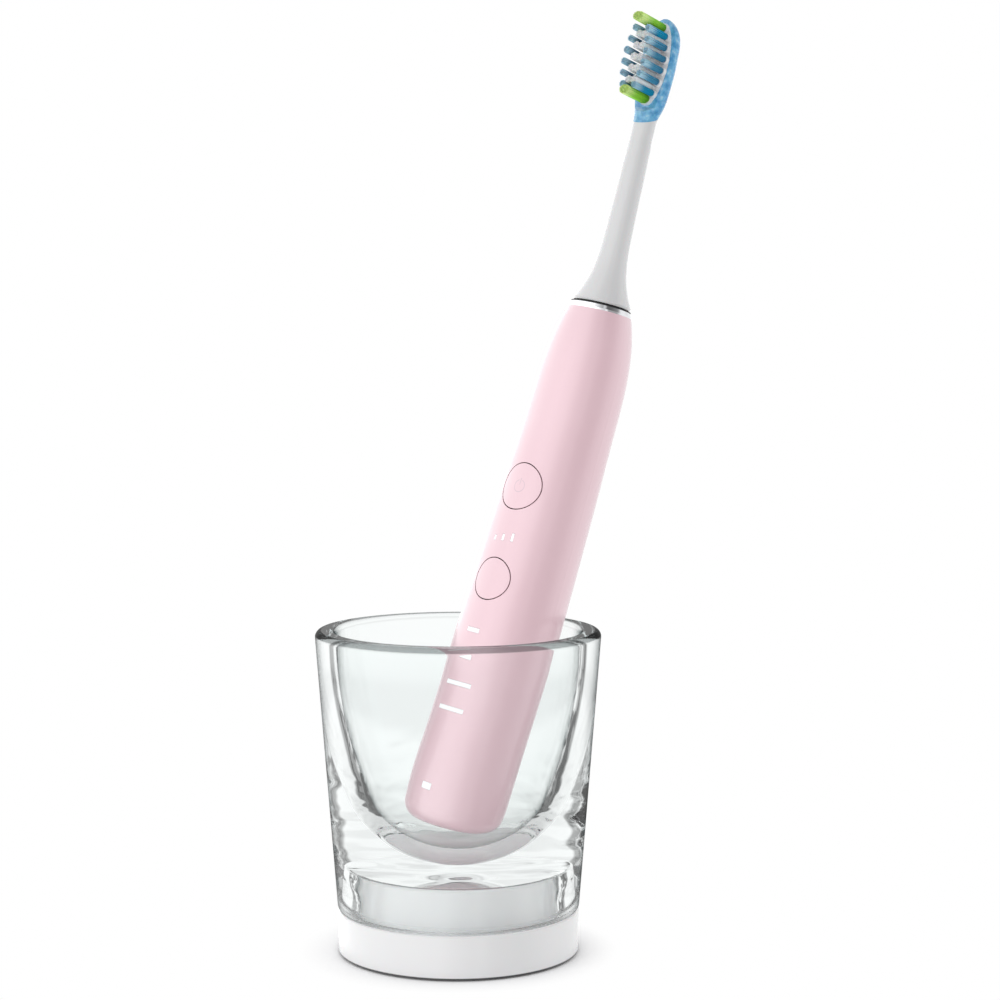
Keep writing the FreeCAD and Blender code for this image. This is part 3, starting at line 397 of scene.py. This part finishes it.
def dress_charger(settings):
    """The white base with a painted shadow along its lower edge, its rubber foot, and what it
    holds.
    """
    cover = white_gloss("white_cover", settings.white_colour)
    # Painted shadow: a dark band round the foot of the cover, under a millimetre high, where the
    # gap between the base and the floor lies in shade.
    _, _, height = cover.axes(HOME)
    edge, edge_soft = 0.7, 0.3
    cover.painted(tint(48, 48, 50), 1 - height.rising(edge, edge + edge_soft))
    wear("base_cover", cover)
    wear("base_plate", mottled("grey_plate", tint(190, 192, 196), 0.5))
    wear("foot_pad", mottled("foot_rubber", tint(52, 52, 55), 0.8, spots=900.0, depth=0.2))
    wear("cord_gland", mottled("gland_rubber", tint(150, 152, 156), 0.6, spots=900.0, depth=0.1))
    wear("base_screws", mottled("screw_steel", tint(190, 190, 192), 0.3, Metallic=1.0))
    board = mottled("circuit_green", tint(28, 110, 62), 0.45, spots=1500.0, depth=0.3)
    copper = mottled("copper_wire", tint(200, 120, 70), 0.35, spots=2500.0, depth=0.4,
                     Metallic=1.0)
    ferrite = mottled("ferrite_grey", tint(70, 70, 74), 0.7, spots=1800.0, depth=0.2)
    black = mottled("black_plastic", tint(36, 36, 40), 0.5, spots=700.0, depth=0.15)
    for node in ("charger_board", "control_board"):
        wear(node, board)
    for node in ("charger_coil", "receiver_coil", "stator_coil", "tag_coil"):
        wear(node, copper)
    for node in ("charger_core", "receiver_core", "drive_magnets"):
        wear(node, ferrite)
    for node in ("charger_components", "coil_bobbin", "receiver_spool", "tact_switches"):
        wear(node, black)


def glass_profile():
    """The tumbler's outline in metres, from the recess under it, round the foot, up the outside
    and over the lip, down into the bowl."""
    foot_z = 12.4
    top, rim, foot = 79.3, 40.3, 34.3
    floor, mouth, side = 14.0, 34.4, 128.0
    lip_in, lip_out, foot_round, recess_round, chamfer = 1.6, 1.9, 1.3, 0.6, 0.5
    recess, recess_top, recess_depth = 28.3, 26.7, 11.7
    first_radius, last_radius = 0.4, 0.3
    round_steps, foot_steps, wall_steps, lip_steps, bowl_steps = 3, 8, 12, 10, 28
    side_end = top - lip_in
    rise = side_end - floor
    bowl = (side * side - (side - mouth) ** 2 - rise * rise) / (2 * (side - rise))
    low = -math.degrees(math.atan2(side_end - (floor + bowl), side - mouth))
    corner = (recess_top - recess_round, recess_depth - recess_round)
    points = [(first_radius, recess_depth), (recess_top - recess_round, recess_depth)]
    points += arc(corner, recess_round, 90, 0, round_steps)
    points += [(recess - chamfer, chamfer), (recess, 0.0)]
    points += arc((foot - foot_round, foot_round), foot_round, -90, 0, foot_steps)
    wall = top - lip_out - foot_round
    points += [(foot + (rim - foot) * n / wall_steps, foot_round + wall * n / wall_steps)
               for n in range(1, wall_steps)]
    points += arc((rim - lip_out, top - lip_out), lip_out, 0, 90, lip_steps)
    points += arc((mouth + lip_in, side_end), lip_in, 90, 180, lip_steps)
    points += arc((mouth - side, side_end), side, 0, low, bowl_steps)[1:]
    points += arc((0, floor + bowl), bowl, low, -89, bowl_steps)[1:]
    points.append((last_radius, floor))
    return [(radius * MM, (height + foot_z) * MM) for radius, height in points]


def clear_glass(settings):
    """Clear glass with a ground foot and pressed waves low in its back. Where it is seen at a
    grazing angle and along its lip it is darkened: painted shade standing in for the dark edges
    and rim line that thick glass shows. It casts only a faint shadow and lets soft light through."""
    # Where each effect sets in or fades, in millimetres.
    ground_end, lip_side, lip_low = (13.0, 14.5), (38.5, 39.0), (90.1, 90.5)
    wave_start, wave_end, wave_front = (16.0, 20.0), (34.0, 60.0), (-14.0, 6.0)
    # How strong each is, where 1 is all.
    ground_rough, lip_shade, most_edge_shade, light_through = 0.3, 0.7, 0.85, 0.97

    finish = Finish("clear_glass", IOR=settings.glass_index, Transmission_Weight=1.0)
    cloud = finish.noise(30.0)
    finish.vary("Base Color", finish.mixed(tint(249, 253, 252), tint(253, 255, 255), cloud))
    x, y, z = finish.axes(HOME)
    ground = 1 - z.rising(*ground_end)
    finish.vary("Roughness", cloud * 0.004 + ground * ground_rough)
    pressed = finish.noise(170.0, detail=1.0, stretch=(0.35, 0.35, 1.0))
    low_back = z.rising(*wave_start) * (1 - z.rising(*wave_end)) * y.rising(*wave_front)
    finish.bumpy(pressed * low_back, settings.glass_waves)

    entering = 1 - finish.made("ShaderNodeNewGeometry", "Backfacing")
    grazing = finish.made("ShaderNodeLayerWeight", "Facing", {"Blend": 0.5}).rising(0.6, 1.0)
    lip = distance(x, y).rising(*lip_side) * z.rising(*lip_low)
    # Painted shade: a dark refraction laid over the glass where it is seen at a grazing angle and
    # along the outer round of its lip.
    edge_shade = finish.made("ShaderNodeBsdfRefraction", 0,
                        {"IOR": settings.glass_index, "Color": settings.glass_edge_shade})
    finish.blended(edge_shade, (grazing + lip * lip_shade).capped() * entering * most_edge_shade)
    thickness = finish.made("ShaderNodeVolumeAbsorption", 0,
                            {"Color": settings.glass_colour, "Density": settings.glass_density})
    feed(finish.output.inputs["Volume"], thickness)
    clear = finish.made("ShaderNodeBsdfTransparent", 0)
    finish.blended(clear, finish.rays("Shadow", "Diffuse") * light_through)
    return finish


def dress_tumbler(settings):
    """The thick glass, turned finely enough to refract without facets."""
    glass = lathe("tumbler", glass_profile(), settings.glass_segments)
    dress(glass, clear_glass(settings))
    belongs(glass, "glass", "clear_glass", "charging_glass")


def dress_handle(settings):
    """The pink grip with its buttons, lit marks, cap and bright ring."""
    wear("handle_shell", pearl("pink_shell", [POWER_RING, MODE_RING], settings))
    wear("end_cap", pearl("pink_cap", [], settings))
    wear("mode_button", pearl("pink_mode_button", [MODE_RING], settings))
    wear("power_button", power_button_finish(settings))
    wear("chrome_ring", mottled("bright_chrome", tint(236, 237, 240), 0.06, spots=60.0,
                                depth=0.03, Metallic=1.0))
    black = mottled("black_rubber", tint(24, 24, 26), 0.6, spots=900.0, depth=0.2)
    for node in ("nose_seal", "cap_seal"):
        wear(node, black)
    lens = mottled("white_lens", tint(250, 250, 252), 0.3, spots=600.0, depth=0.02,
                   Emission_Strength=0.08)
    lens.vary("Emission Color", lens.mixed(tint(250, 250, 252), tint(255, 255, 255),
                                           lens.noise(300.0)))
    for node in ("level_lights", "mode_lights", "charge_light", "indicator_lamps"):
        wear(node, lens)
    dress_inside()


def power_button_finish(settings):
    """The pearl finish with a thin on-off sign: an open circle with a stroke in its gap."""
    finish = pearl("pink_power_button", [POWER_RING], settings)
    circle_radius, gap_half, line_half, soft = 1.75, 0.5, 0.1, 0.08
    stroke_middle, stroke_half = 1.35, 0.95
    x, rise, reach, _ = button_plane(finish, POWER_DEPTH)
    gap = x.near(0.0, gap_half, 0.05) * rise.rising(0.0, 0.1)
    circle = reach.near(circle_radius, line_half, soft) * (1 - gap)
    stroke = x.near(0.0, line_half, soft) * rise.near(stroke_middle, stroke_half, soft)
    finish.painted(settings.sign_colour, (circle + stroke).capped() * 0.8)
    return finish


def dress_inside():
    """The parts behind the grip's shell."""
    wear("inner_frame", mottled("grey_frame", tint(170, 172, 176), 0.5))
    steel = mottled("drive_steel", tint(200, 200, 204), 0.28, spots=500.0, depth=0.1, Metallic=1.0)
    for node in ("drive_shaft", "armature", "torsion_bar", "stator_core", "battery_tabs"):
        wear(node, steel)
    wear("drive_housing", mottled("cast_alloy", tint(196, 198, 202), 0.4, spots=900.0,
                                  depth=0.15, Metallic=1.0))
    bronze = mottled("bearing_bronze", tint(176, 140, 88), 0.4, spots=900.0, depth=0.2,
                     Metallic=1.0)
    for node in ("front_bearing", "rear_bearing"):
        wear(node, bronze)
    damper = mottled("damper_rubber", tint(90, 92, 96), 0.7, spots=900.0, depth=0.2)
    for node in ("front_damper", "rear_damper"):
        wear(node, damper)
    wear("battery_cell", mottled("battery_sleeve", tint(70, 110, 165), 0.35, spots=300.0))


# Everything on the brush head is in millimetres above the seat and out from the shaft's axis.
# The round tufts stand in six rows, a blue one at each side, with white ones between the rows.
FIELD_CENTRE, PITCH = 71.3, 3.35
ROWS = [FIELD_CENTRE + (2.5 - n) * PITCH for n in range(6)]
BLUE_SIDES = (2.3, 3.05, 3.55, 3.55, 3.05, 2.15)
WHITE_SIDE = 1.05
BLUE_SPOTS = [(side * x, z) for x, z in zip(BLUE_SIDES, ROWS) for side in (-1, 1)]
WHITE_SPOTS = [(side * WHITE_SIDE, z - PITCH / 2) for z in ROWS[:-1] for side in (-1, 1)]

# How far each kind of tuft reaches from the face and half its width. Each of the two oval green
# tufts has a height above the seat and a reach of its own, and both take their colour from one.
BLUE_REACH, BLUE_HALF = 10.0, 0.9
WHITE_REACH, WHITE_HALF = 9.2, 1.05
GREEN_TUFTS = [(82.2, 12.6), (61.1, 11.0)]
GREEN_REACH, GREEN_HALF, GREEN_HALF_HEIGHT = 12.0, 1.85, 1.35

# The face's distance from the axis, how deep a tuft stands in it, and a tuft's collar.
FACE, PLANTED = 1.8, 0.6
COLLAR_ROOT, COLLAR_TOP, COLLAR_SIDES = 1.35, 1.2, 24
OVAL_WIDE, OVAL_HIGH = 1.7, 1.3

# A bristle's sides, the length and end of its tip in radii, and its row step in pitches.
FILAMENT_SIDES = 6
TIP_LENGTH, TIP_END = 3, 0.35
ROW_STEP = 0.866


def filament(length, radius):
    """One bristle with a tapered end, standing on the origin."""
    tip = TIP_LENGTH * radius
    nothing_selected()
    bpy.ops.mesh.primitive_cylinder_add(vertices=FILAMENT_SIDES, radius=radius,
                                        depth=length - tip, end_fill_type="NOTHING",
                                        location=(0, 0, (length - tip) / 2))
    stem = active()
    bpy.ops.mesh.primitive_cone_add(vertices=FILAMENT_SIDES, radius1=radius,
                                    radius2=radius * TIP_END, depth=tip,
                                    end_fill_type="NGON", location=(0, 0, length - tip / 2))
    cap = active()
    return joined("filament", [stem, cap])


def tuft(length, half_width, half_height, settings):
    """A bundle of bristles packed into an oval, with uneven ends that lean a little."""
    pitch = settings.filament_pitch
    single = filament(length, settings.filament_radius)
    rows = int(half_height / (pitch * ROW_STEP))
    strands = []
    for row in range(-rows, rows + 1):
        y = row * pitch * ROW_STEP
        reach = half_width * math.sqrt(max(0.0, 1 - (y / half_height) ** 2))
        start = pitch / 2 if row % 2 else 0.0
        count = int((reach - start) / pitch) * 2 + (2 if row % 2 else 1)
        if reach < start:
            continue
        first = -(count - 1) / 2 * pitch
        strand = copied(single, Matrix.Translation((first, y, 0)))
        strands.append(modified(strand, "ARRAY", count=count, use_relative_offset=False,
                                use_constant_offset=True,
                                constant_offset_displace=(pitch, 0, 0)))
    removed(single)
    bundle = settled(joined("tuft", strands))
    tips = bundle.vertex_groups.new(name="tips")
    tips.add([v.index for v in bundle.data.vertices if v.co.z > length * 0.5], 1.0, "REPLACE")
    cloud = bpy.data.textures.new("tuft_cloud", "CLOUDS")
    cloud.noise_scale = pitch
    for direction, strength in (("X", settings.tuft_lean), ("Y", settings.tuft_lean),
                                ("Z", settings.tuft_unevenness)):
        modified(bundle, "DISPLACE", direction=direction, strength=strength, texture=cloud,
                 mid_level=0.5, vertex_group="tips")
    return smooth(bundle, 60)


def planted(name, kinds):
    """Copies of each bundle on the head's face. Each kind is a bundle, its spots, and whether it
    is round, and round ones are turned so that neighbours differ."""
    copies = []
    for bundle, spots, is_round in kinds:
        for number, (x, z) in enumerate(spots):
            turn = Matrix.Rotation(math.radians(60 * number), 4, "Z") if is_round else HOME
            spot = Matrix.Translation((x * MM, -(FACE - PLANTED) * MM, z * MM))
            copies.append(copied(bundle, SHAFT @ (spot @ TO_FRONT @ turn)))
        removed(bundle)
    return settled(joined(name, copies))


def bristle(name, colours, reach, end=None):
    """A bristle's colour from its root by its middle out to its tip at a reach from the face.
    The rows at both ends of the head may have a colour of their own."""
    finish = Finish(name, Specular_IOR_Level=0.2, Subsurface_Weight=0.15,
                    Subsurface_Scale=0.0006)
    root, middle, tip = colours
    end_rows = (1.8 * PITCH, 2.2 * PITCH)
    root_end, tip_start, tip_end = reach * 0.45, reach * 0.5, reach * 0.95
    streak_share, streak_spread = 0.3, 2.0
    _, y, z = finish.axes(SHAFT)
    out = y * -1 - FACE
    streak = finish.noise(2600.0, detail=1.0)
    if end is not None:
        last = (z - FIELD_CENTRE).size().rising(*end_rows)
        root = finish.mixed(root, end, last)
        middle = finish.mixed(middle, end, last)
    uneven = out + streak * streak_spread - streak_spread / 2
    colour = finish.mixed(root, middle, out.rising(0.0, root_end))
    colour = finish.mixed(colour, tip, uneven.rising(tip_start, tip_end))
    colour = finish.mixed(colour, middle, streak * streak_share)
    finish.vary("Base Color", colour)
    finish.vary("Roughness", streak * 0.1 + 0.3)
    return finish


def dress_brush_head(settings):
    """The white neck, its blue cover, and the tufts of bristles."""
    wear("neck", white_gloss("white_neck", settings.neck_colour))
    wear("coupling_sleeve", mottled("grey_sleeve", tint(150, 152, 156), 0.5))
    wear("tuft_plate", white_gloss("white_plate", settings.white_colour))
    wear("head_cover", cover_finish(settings))

    blue_half, white_half = BLUE_HALF * MM, WHITE_HALF * MM
    blue_tuft = tuft((BLUE_REACH + PLANTED) * MM, blue_half, blue_half, settings)
    blue = planted("blue_bristles", [(blue_tuft, BLUE_SPOTS, True)])
    blues = (settings.blue_root, settings.blue_middle, settings.blue_tip)
    dress(blue, bristle("blue_bristle", blues, BLUE_REACH, end=settings.blue_end))
    belongs(blue, "brush_head", "blue_bristle", "blue_tufts")

    white_tuft = tuft((WHITE_REACH + PLANTED) * MM, white_half, white_half, settings)
    white = planted("white_bristles", [(white_tuft, WHITE_SPOTS, True)])
    whites = (settings.white_root, settings.white_middle, settings.white_tip)
    dress(white, bristle("white_bristle", whites, WHITE_REACH))
    belongs(white, "brush_head", "white_bristle", "white_tufts")

    green = planted("green_bristles", [
        (tuft((reach + PLANTED) * MM, GREEN_HALF * MM, GREEN_HALF_HEIGHT * MM, settings),
         [(0.0, z)], False)
        for z, reach in GREEN_TUFTS])
    greens = (settings.green_root, settings.green_middle, settings.green_tip)
    dress(green, bristle("green_bristle", greens, GREEN_REACH))
    belongs(green, "brush_head", "green_bristle", "green_tufts")
    add_collars(settings)


def cover_finish(settings):
    """Blue plastic that is clouded and a little milky."""
    finish = Finish("blue_cover", IOR=1.46, Transmission_Weight=0.25, Coat_Weight=0.4,
                    Coat_Roughness=0.06, Subsurface_Weight=0.2, Subsurface_Scale=0.002)
    deep_edge, pale_edge = (0.34, 0.6), (0.56, 0.76)
    cloud = finish.noise(520.0, detail=4.0)
    deep = finish.mixed(settings.cover_deep, settings.cover_colour, cloud.rising(*deep_edge))
    finish.vary("Base Color", finish.mixed(deep, settings.cover_pale, cloud.rising(*pale_edge)))
    finish.vary("Roughness", cloud * 0.1 + 0.12)
    return finish


def add_collars(settings):
    """A low white collar round the root of every tuft."""
    collars = []
    spots = [(x, z, 1.0, 1.0) for x, z in BLUE_SPOTS + WHITE_SPOTS]
    spots += [(0.0, z, OVAL_WIDE, OVAL_HIGH) for z, _ in GREEN_TUFTS]
    height = settings.collar_height
    for x, z, wide, high in spots:
        nothing_selected()
        bpy.ops.mesh.primitive_cone_add(vertices=COLLAR_SIDES, radius1=COLLAR_ROOT * MM,
                                        radius2=COLLAR_TOP * MM, depth=height,
                                        location=(0, 0, height / 2))
        spot = Matrix.Translation((x * MM, -FACE * MM, z * MM))
        shape = Matrix.Diagonal((wide, high, 1, 1))
        collars.append(settled(active(), SHAFT @ (spot @ TO_FRONT) @ shape))
    obj = smooth(joined("tuft_collars", collars))
    dress(obj, white_gloss("white_collars", settings.white_colour))
    belongs(obj, "brush_head", "white_gloss")


# ---------------------------------------------------------------- studio
WHITE = (1, 1, 1, 1)

# The camera's place in metres, how far it looks down and to the side in radians, and its lens
# and film width in millimetres.
CAMERA_PLACE = (0, -0.65475, 0.17875)
CAMERA_DIP, CAMERA_TURN = 0.0772, -0.018
LENS, FILM_WIDTH = 84.2, 36

# The upright dark flags that shiny things show, each by how far to the side it stands as a share
# of the direction, its half width, its soft edge and its darkness. Those behind are seen through
# glass on both sides, and those in front only in reflections. The low bands lie level above and
# below the horizon, and it gets darker towards the top and the bottom.
FLAGS_BEHIND = ((0.54, 0.04, 0.06, 0.55), (0.84, 0.05, 0.05, 0.5))
FLAGS_IN_FRONT = ((0.68, 0.18, 0.14, 0.6), (0.06, 0.2, 0.05, 0.25))
LOW_BANDS = ((0.2, 0.02, 0.04, 0.1),)
STEEP_BAND, STEEP_DARK = (0.25, 0.75), 0.3
RIPPLES, RIPPLE_SIDES = (0.44, 0.62), (0.45, 0.65)
SOFTBOX_EDGE = (-0.35, 0.3)
RIPPLE_DARK, DARKEST = 0.78, 0.86

# Where the floor starts to fade and where it is plain white, in millimetres from the middle.
FADE_START, FADE_END = 31.0, 46.0


def lamp(name, place, aim, width, height, watts):
    """A soft rectangular light that itself is never seen."""
    bpy.ops.object.light_add(type="AREA", location=place)
    obj = active()
    obj.name = name
    obj.data.shape = "RECTANGLE"
    obj.data.size, obj.data.size_y = width, height
    obj.data.energy = watts
    obj.rotation_mode = "QUATERNION"
    obj.rotation_quaternion = (Vector(aim) - Vector(place)).to_track_quat("-Z", "Y")
    obj.visible_camera = False
    obj.visible_glossy = False
    obj.visible_transmission = False
    return obj


def flagged(across, flags):
    """How dark flags or bands make each place along an axis."""
    return sum(across.near(centre, half, soft) * dark for centre, half, soft, dark in flags)


def studio_world(settings):
    """White where it is seen directly and a little dimmer as light. Shiny things show it with
    dark flags, ripples and bands, and reflections show a softbox on the left as well. Only a
    path that has been mirrored counts as a reflection."""
    world = bpy.data.worlds.new("studio")
    bpy.context.scene.world = world
    world.use_nodes = True
    tree = world.node_tree
    background = tree.nodes["Background"]
    direction = made(tree, "ShaderNodeTexCoord", "Generated")
    x, y, z = [made(tree, "ShaderNodeSeparateXYZ", n, {0: direction}) for n in range(3)]
    aside, steep = x.size(), z.size()
    seen = rays(tree, "Camera")
    shiny = rays(tree, "Glossy", "Transmission")
    mirrored = made(tree, "ShaderNodeLightPath", "Glossy Depth").capped()
    behind = y.rising(-0.1, 0.1)
    through = behind * rays(tree, "Transmission")

    marble = made(tree, "ShaderNodeTexNoise", "Fac",
                  {"Vector": direction, "Scale": 9.0, "Detail": 3.0, "Distortion": 1.2})
    ripples = marble.rising(*RIPPLES) * aside.rising(*RIPPLE_SIDES) * RIPPLE_DARK
    bands = steep.rising(*STEEP_BAND) * STEEP_DARK + flagged(steep, LOW_BANDS)
    back = (flagged(aside, FLAGS_BEHIND) + ripples) * through
    front = flagged(x, FLAGS_IN_FRONT) * (1 - behind) * mirrored
    dark = (back + front + bands).math("MINIMUM", DARKEST)
    softbox = (1 - x.rising(*SOFTBOX_EDGE)) * settings.softbox * (1 - through) * mirrored
    level = shiny * (1 - dark + softbox) + (1 - shiny) * settings.ambient
    feed(background.inputs["Strength"], seen + (1 - seen) * level)
    background.inputs["Color"].default_value = WHITE


def studio_floor():
    """A pale floor that fades to plain white away from the base. There, shiny things show the
    studio below it instead."""
    nothing_selected()
    bpy.ops.mesh.primitive_plane_add(size=6.0)
    floor = active()
    floor.name = "studio_floor"
    finish = Finish("floor_white", Roughness=0.6, Specular_IOR_Level=0.2)
    grain = finish.noise(20.0)
    finish.vary("Base Color", finish.mixed(tint(250, 250, 251), tint(252, 252, 253), grain))
    x, y, _ = finish.axes(HOME)
    away = distance(x, y).rising(FADE_START, FADE_END)
    finish.blended(finish.made("ShaderNodeEmission", 0, {"Color": WHITE}), away)
    clear = finish.made("ShaderNodeBsdfTransparent", 0)
    finish.blended(clear, finish.rays("Glossy", "Transmission") * away)
    dress(floor, finish)


def set_stage(settings):
    """The camera, the lamps, the world and the floor."""
    scene = bpy.context.scene
    scene.view_settings.view_transform = "Standard"
    studio_world(settings)
    studio_floor()
    power = settings.lamp_power
    middle = (0.01, 0, 0.13)
    lamp("key_lamp", (-0.85, -0.7, 0.5), middle, 0.6, 0.9, power)
    lamp("rim_lamp", (0.95, 0.25, 0.35), middle, 0.4, 0.9, power * 0.5)
    lamp("top_lamp", (-0.1, 0.1, 1.0), middle, 0.8, 0.6, power * 0.4)
    bpy.ops.object.camera_add(location=CAMERA_PLACE,
                              rotation=(math.pi / 2 - CAMERA_DIP, 0, CAMERA_TURN))
    camera = active()
    camera.data.lens = LENS
    camera.data.sensor_width = FILM_WIDTH
    camera.data.clip_start = 0.01
    scene.camera = camera


# ---------------------------------------------------------------- add-on
def colour(name, description, red, green, blue):
    """A colour setting, from its display values."""
    return FloatVectorProperty(name=name, description=description, size=4, subtype="COLOR",
                               default=tint(red, green, blue), min=0, max=1)


class ToothbrushSettings(bpy.types.PropertyGroup):
    handle_colour: colour("Handle", "Pearl pink of the handle", 230, 195, 204)
    handle_shade: colour("Handle shade", "Deeper pink that clouds the handle", 226, 187, 197)
    gap_colour: colour("Button gap", "Line round each button", 120, 85, 92)
    sign_colour: colour("Power sign", "On-off sign on the power button", 200, 172, 184)
    white_colour: colour("White", "Base, tuft plate and collars", 229, 229, 230)
    neck_colour: colour("Neck", "White of the brush head's neck", 210, 210, 211)
    cover_colour: colour("Cover", "Blue of the brush head's cover", 122, 196, 238)
    cover_deep: colour("Cover, deep", "Darker blue clouds in the cover", 78, 158, 212)
    cover_pale: colour("Cover, pale", "Milky clouds in the cover", 192, 230, 250)
    blue_root: colour("Blue root", "Blue bristles at the face", 44, 116, 156)
    blue_middle: colour("Blue middle", "Blue bristles half way out", 62, 140, 176)
    blue_tip: colour("Blue tip", "Blue bristles at their tips", 184, 220, 234)
    blue_end: colour("Blue end rows", "Blue bristles of the first and last row", 0, 146, 188)
    white_root: colour("White root", "White bristles at the face", 240, 243, 246)
    white_middle: colour("White middle", "White bristles half way out", 250, 252, 253)
    white_tip: colour("White tip", "White bristles at their tips", 255, 255, 255)
    green_root: colour("Green root", "Green bristles at the face", 74, 156, 26)
    green_middle: colour("Green middle", "Green bristles half way out", 138, 208, 56)
    green_tip: colour("Green tip", "Green bristles at their tips", 228, 246, 166)
    glass_colour: colour("Glass", "What thick glass lets through", 213, 217, 217)
    # Colour of the painted shade on the glass where it is seen at a grazing angle and along its
    # lip.
    glass_edge_shade: colour("Glass smoke", "Glass seen at a grazing angle", 70, 84, 86)
    glass_segments: IntProperty(
        name="Glass segments", description="Facets round the tumbler", default=160, min=24)
    glass_index: FloatProperty(
        name="Glass index", description="How strongly the tumbler bends light", default=1.2)
    glass_waves: FloatProperty(
        name="Glass waves", description="Depth of the pressed waves in the thick bottom",
        default=2.5 * MM, unit="LENGTH", precision=5)
    glass_density: FloatProperty(
        name="Glass density", description="How much thick glass darkens", default=2.1)
    filament_radius: FloatProperty(
        name="Filament radius", description="Half the thickness of one bristle",
        default=0.1 * MM, unit="LENGTH", precision=5)
    filament_pitch: FloatProperty(
        name="Filament pitch", description="Distance between neighbouring bristles",
        default=0.235 * MM, unit="LENGTH", precision=5)
    tuft_lean: FloatProperty(
        name="Tuft lean", description="How far the tips wander sideways",
        default=0.5 * MM, unit="LENGTH", precision=5)
    tuft_unevenness: FloatProperty(
        name="Tuft unevenness", description="How much the bristles differ in length",
        default=0.5 * MM, unit="LENGTH", precision=5)
    collar_height: FloatProperty(
        name="Collar height", description="Height of the collar at each tuft's root",
        default=1.0 * MM, unit="LENGTH", precision=5)
    softbox: FloatProperty(
        name="Softbox", description="Extra brightness of the large light on the left", default=0.8)
    ambient: FloatProperty(
        name="Ambient", description="Brightness of the white surroundings", default=0.68)
    lamp_power: FloatProperty(
        name="Lamp power", description="Power of the main lamp", default=3.2, unit="POWER")


class TOOTHBRUSH_OT_charger(bpy.types.Operator):
    """Give the charging base its finishes"""
    bl_idname = "toothbrush.charger"
    bl_label = "Dress the charger"

    def execute(self, context):
        dress_charger(context.scene.toothbrush)
        return {"FINISHED"}


class TOOTHBRUSH_OT_tumbler(bpy.types.Operator):
    """Build the glass tumbler"""
    bl_idname = "toothbrush.tumbler"
    bl_label = "Build the tumbler"

    def execute(self, context):
        dress_tumbler(context.scene.toothbrush)
        return {"FINISHED"}


class TOOTHBRUSH_OT_handle(bpy.types.Operator):
    """Give the handle, its controls and its inner parts their finishes"""
    bl_idname = "toothbrush.handle"
    bl_label = "Dress the handle"

    def execute(self, context):
        dress_handle(context.scene.toothbrush)
        return {"FINISHED"}


class TOOTHBRUSH_OT_brush_head(bpy.types.Operator):
    """Build the bristles and give the brush head its finishes"""
    bl_idname = "toothbrush.brush_head"
    bl_label = "Build the brush head"

    def execute(self, context):
        dress_brush_head(context.scene.toothbrush)
        return {"FINISHED"}


class TOOTHBRUSH_OT_stage(bpy.types.Operator):
    """Set up the camera, the lamps and the white studio"""
    bl_idname = "toothbrush.stage"
    bl_label = "Set the stage"

    def execute(self, context):
        set_stage(context.scene.toothbrush)
        return {"FINISHED"}


OPERATORS = (TOOTHBRUSH_OT_charger, TOOTHBRUSH_OT_tumbler, TOOTHBRUSH_OT_handle,
             TOOTHBRUSH_OT_brush_head, TOOTHBRUSH_OT_stage)


class TOOTHBRUSH_PT_panel(bpy.types.Panel):
    """Settings and steps of the toothbrush"""
    bl_label = "Toothbrush"
    bl_idname = "TOOTHBRUSH_PT_panel"
    bl_space_type = "VIEW_3D"
    bl_region_type = "UI"
    bl_category = "Toothbrush"

    def draw(self, context):
        for name in ToothbrushSettings.__annotations__:
            self.layout.prop(context.scene.toothbrush, name)
        for operator in OPERATORS:
            self.layout.operator(operator.bl_idname)


CLASSES = (ToothbrushSettings, *OPERATORS, TOOTHBRUSH_PT_panel)


def register():
    for cls in CLASSES:
        bpy.utils.register_class(cls)
    bpy.types.Scene.toothbrush = PointerProperty(type=ToothbrushSettings)


def unregister():
    del bpy.types.Scene.toothbrush
    for cls in reversed(CLASSES):
        bpy.utils.unregister_class(cls)


def main():
    register()
    bpy.ops.toothbrush.charger()
    bpy.ops.toothbrush.tumbler()
    bpy.ops.toothbrush.handle()
    bpy.ops.toothbrush.brush_head()
    bpy.ops.toothbrush.stage()


if __name__ == "__main__":
    main()
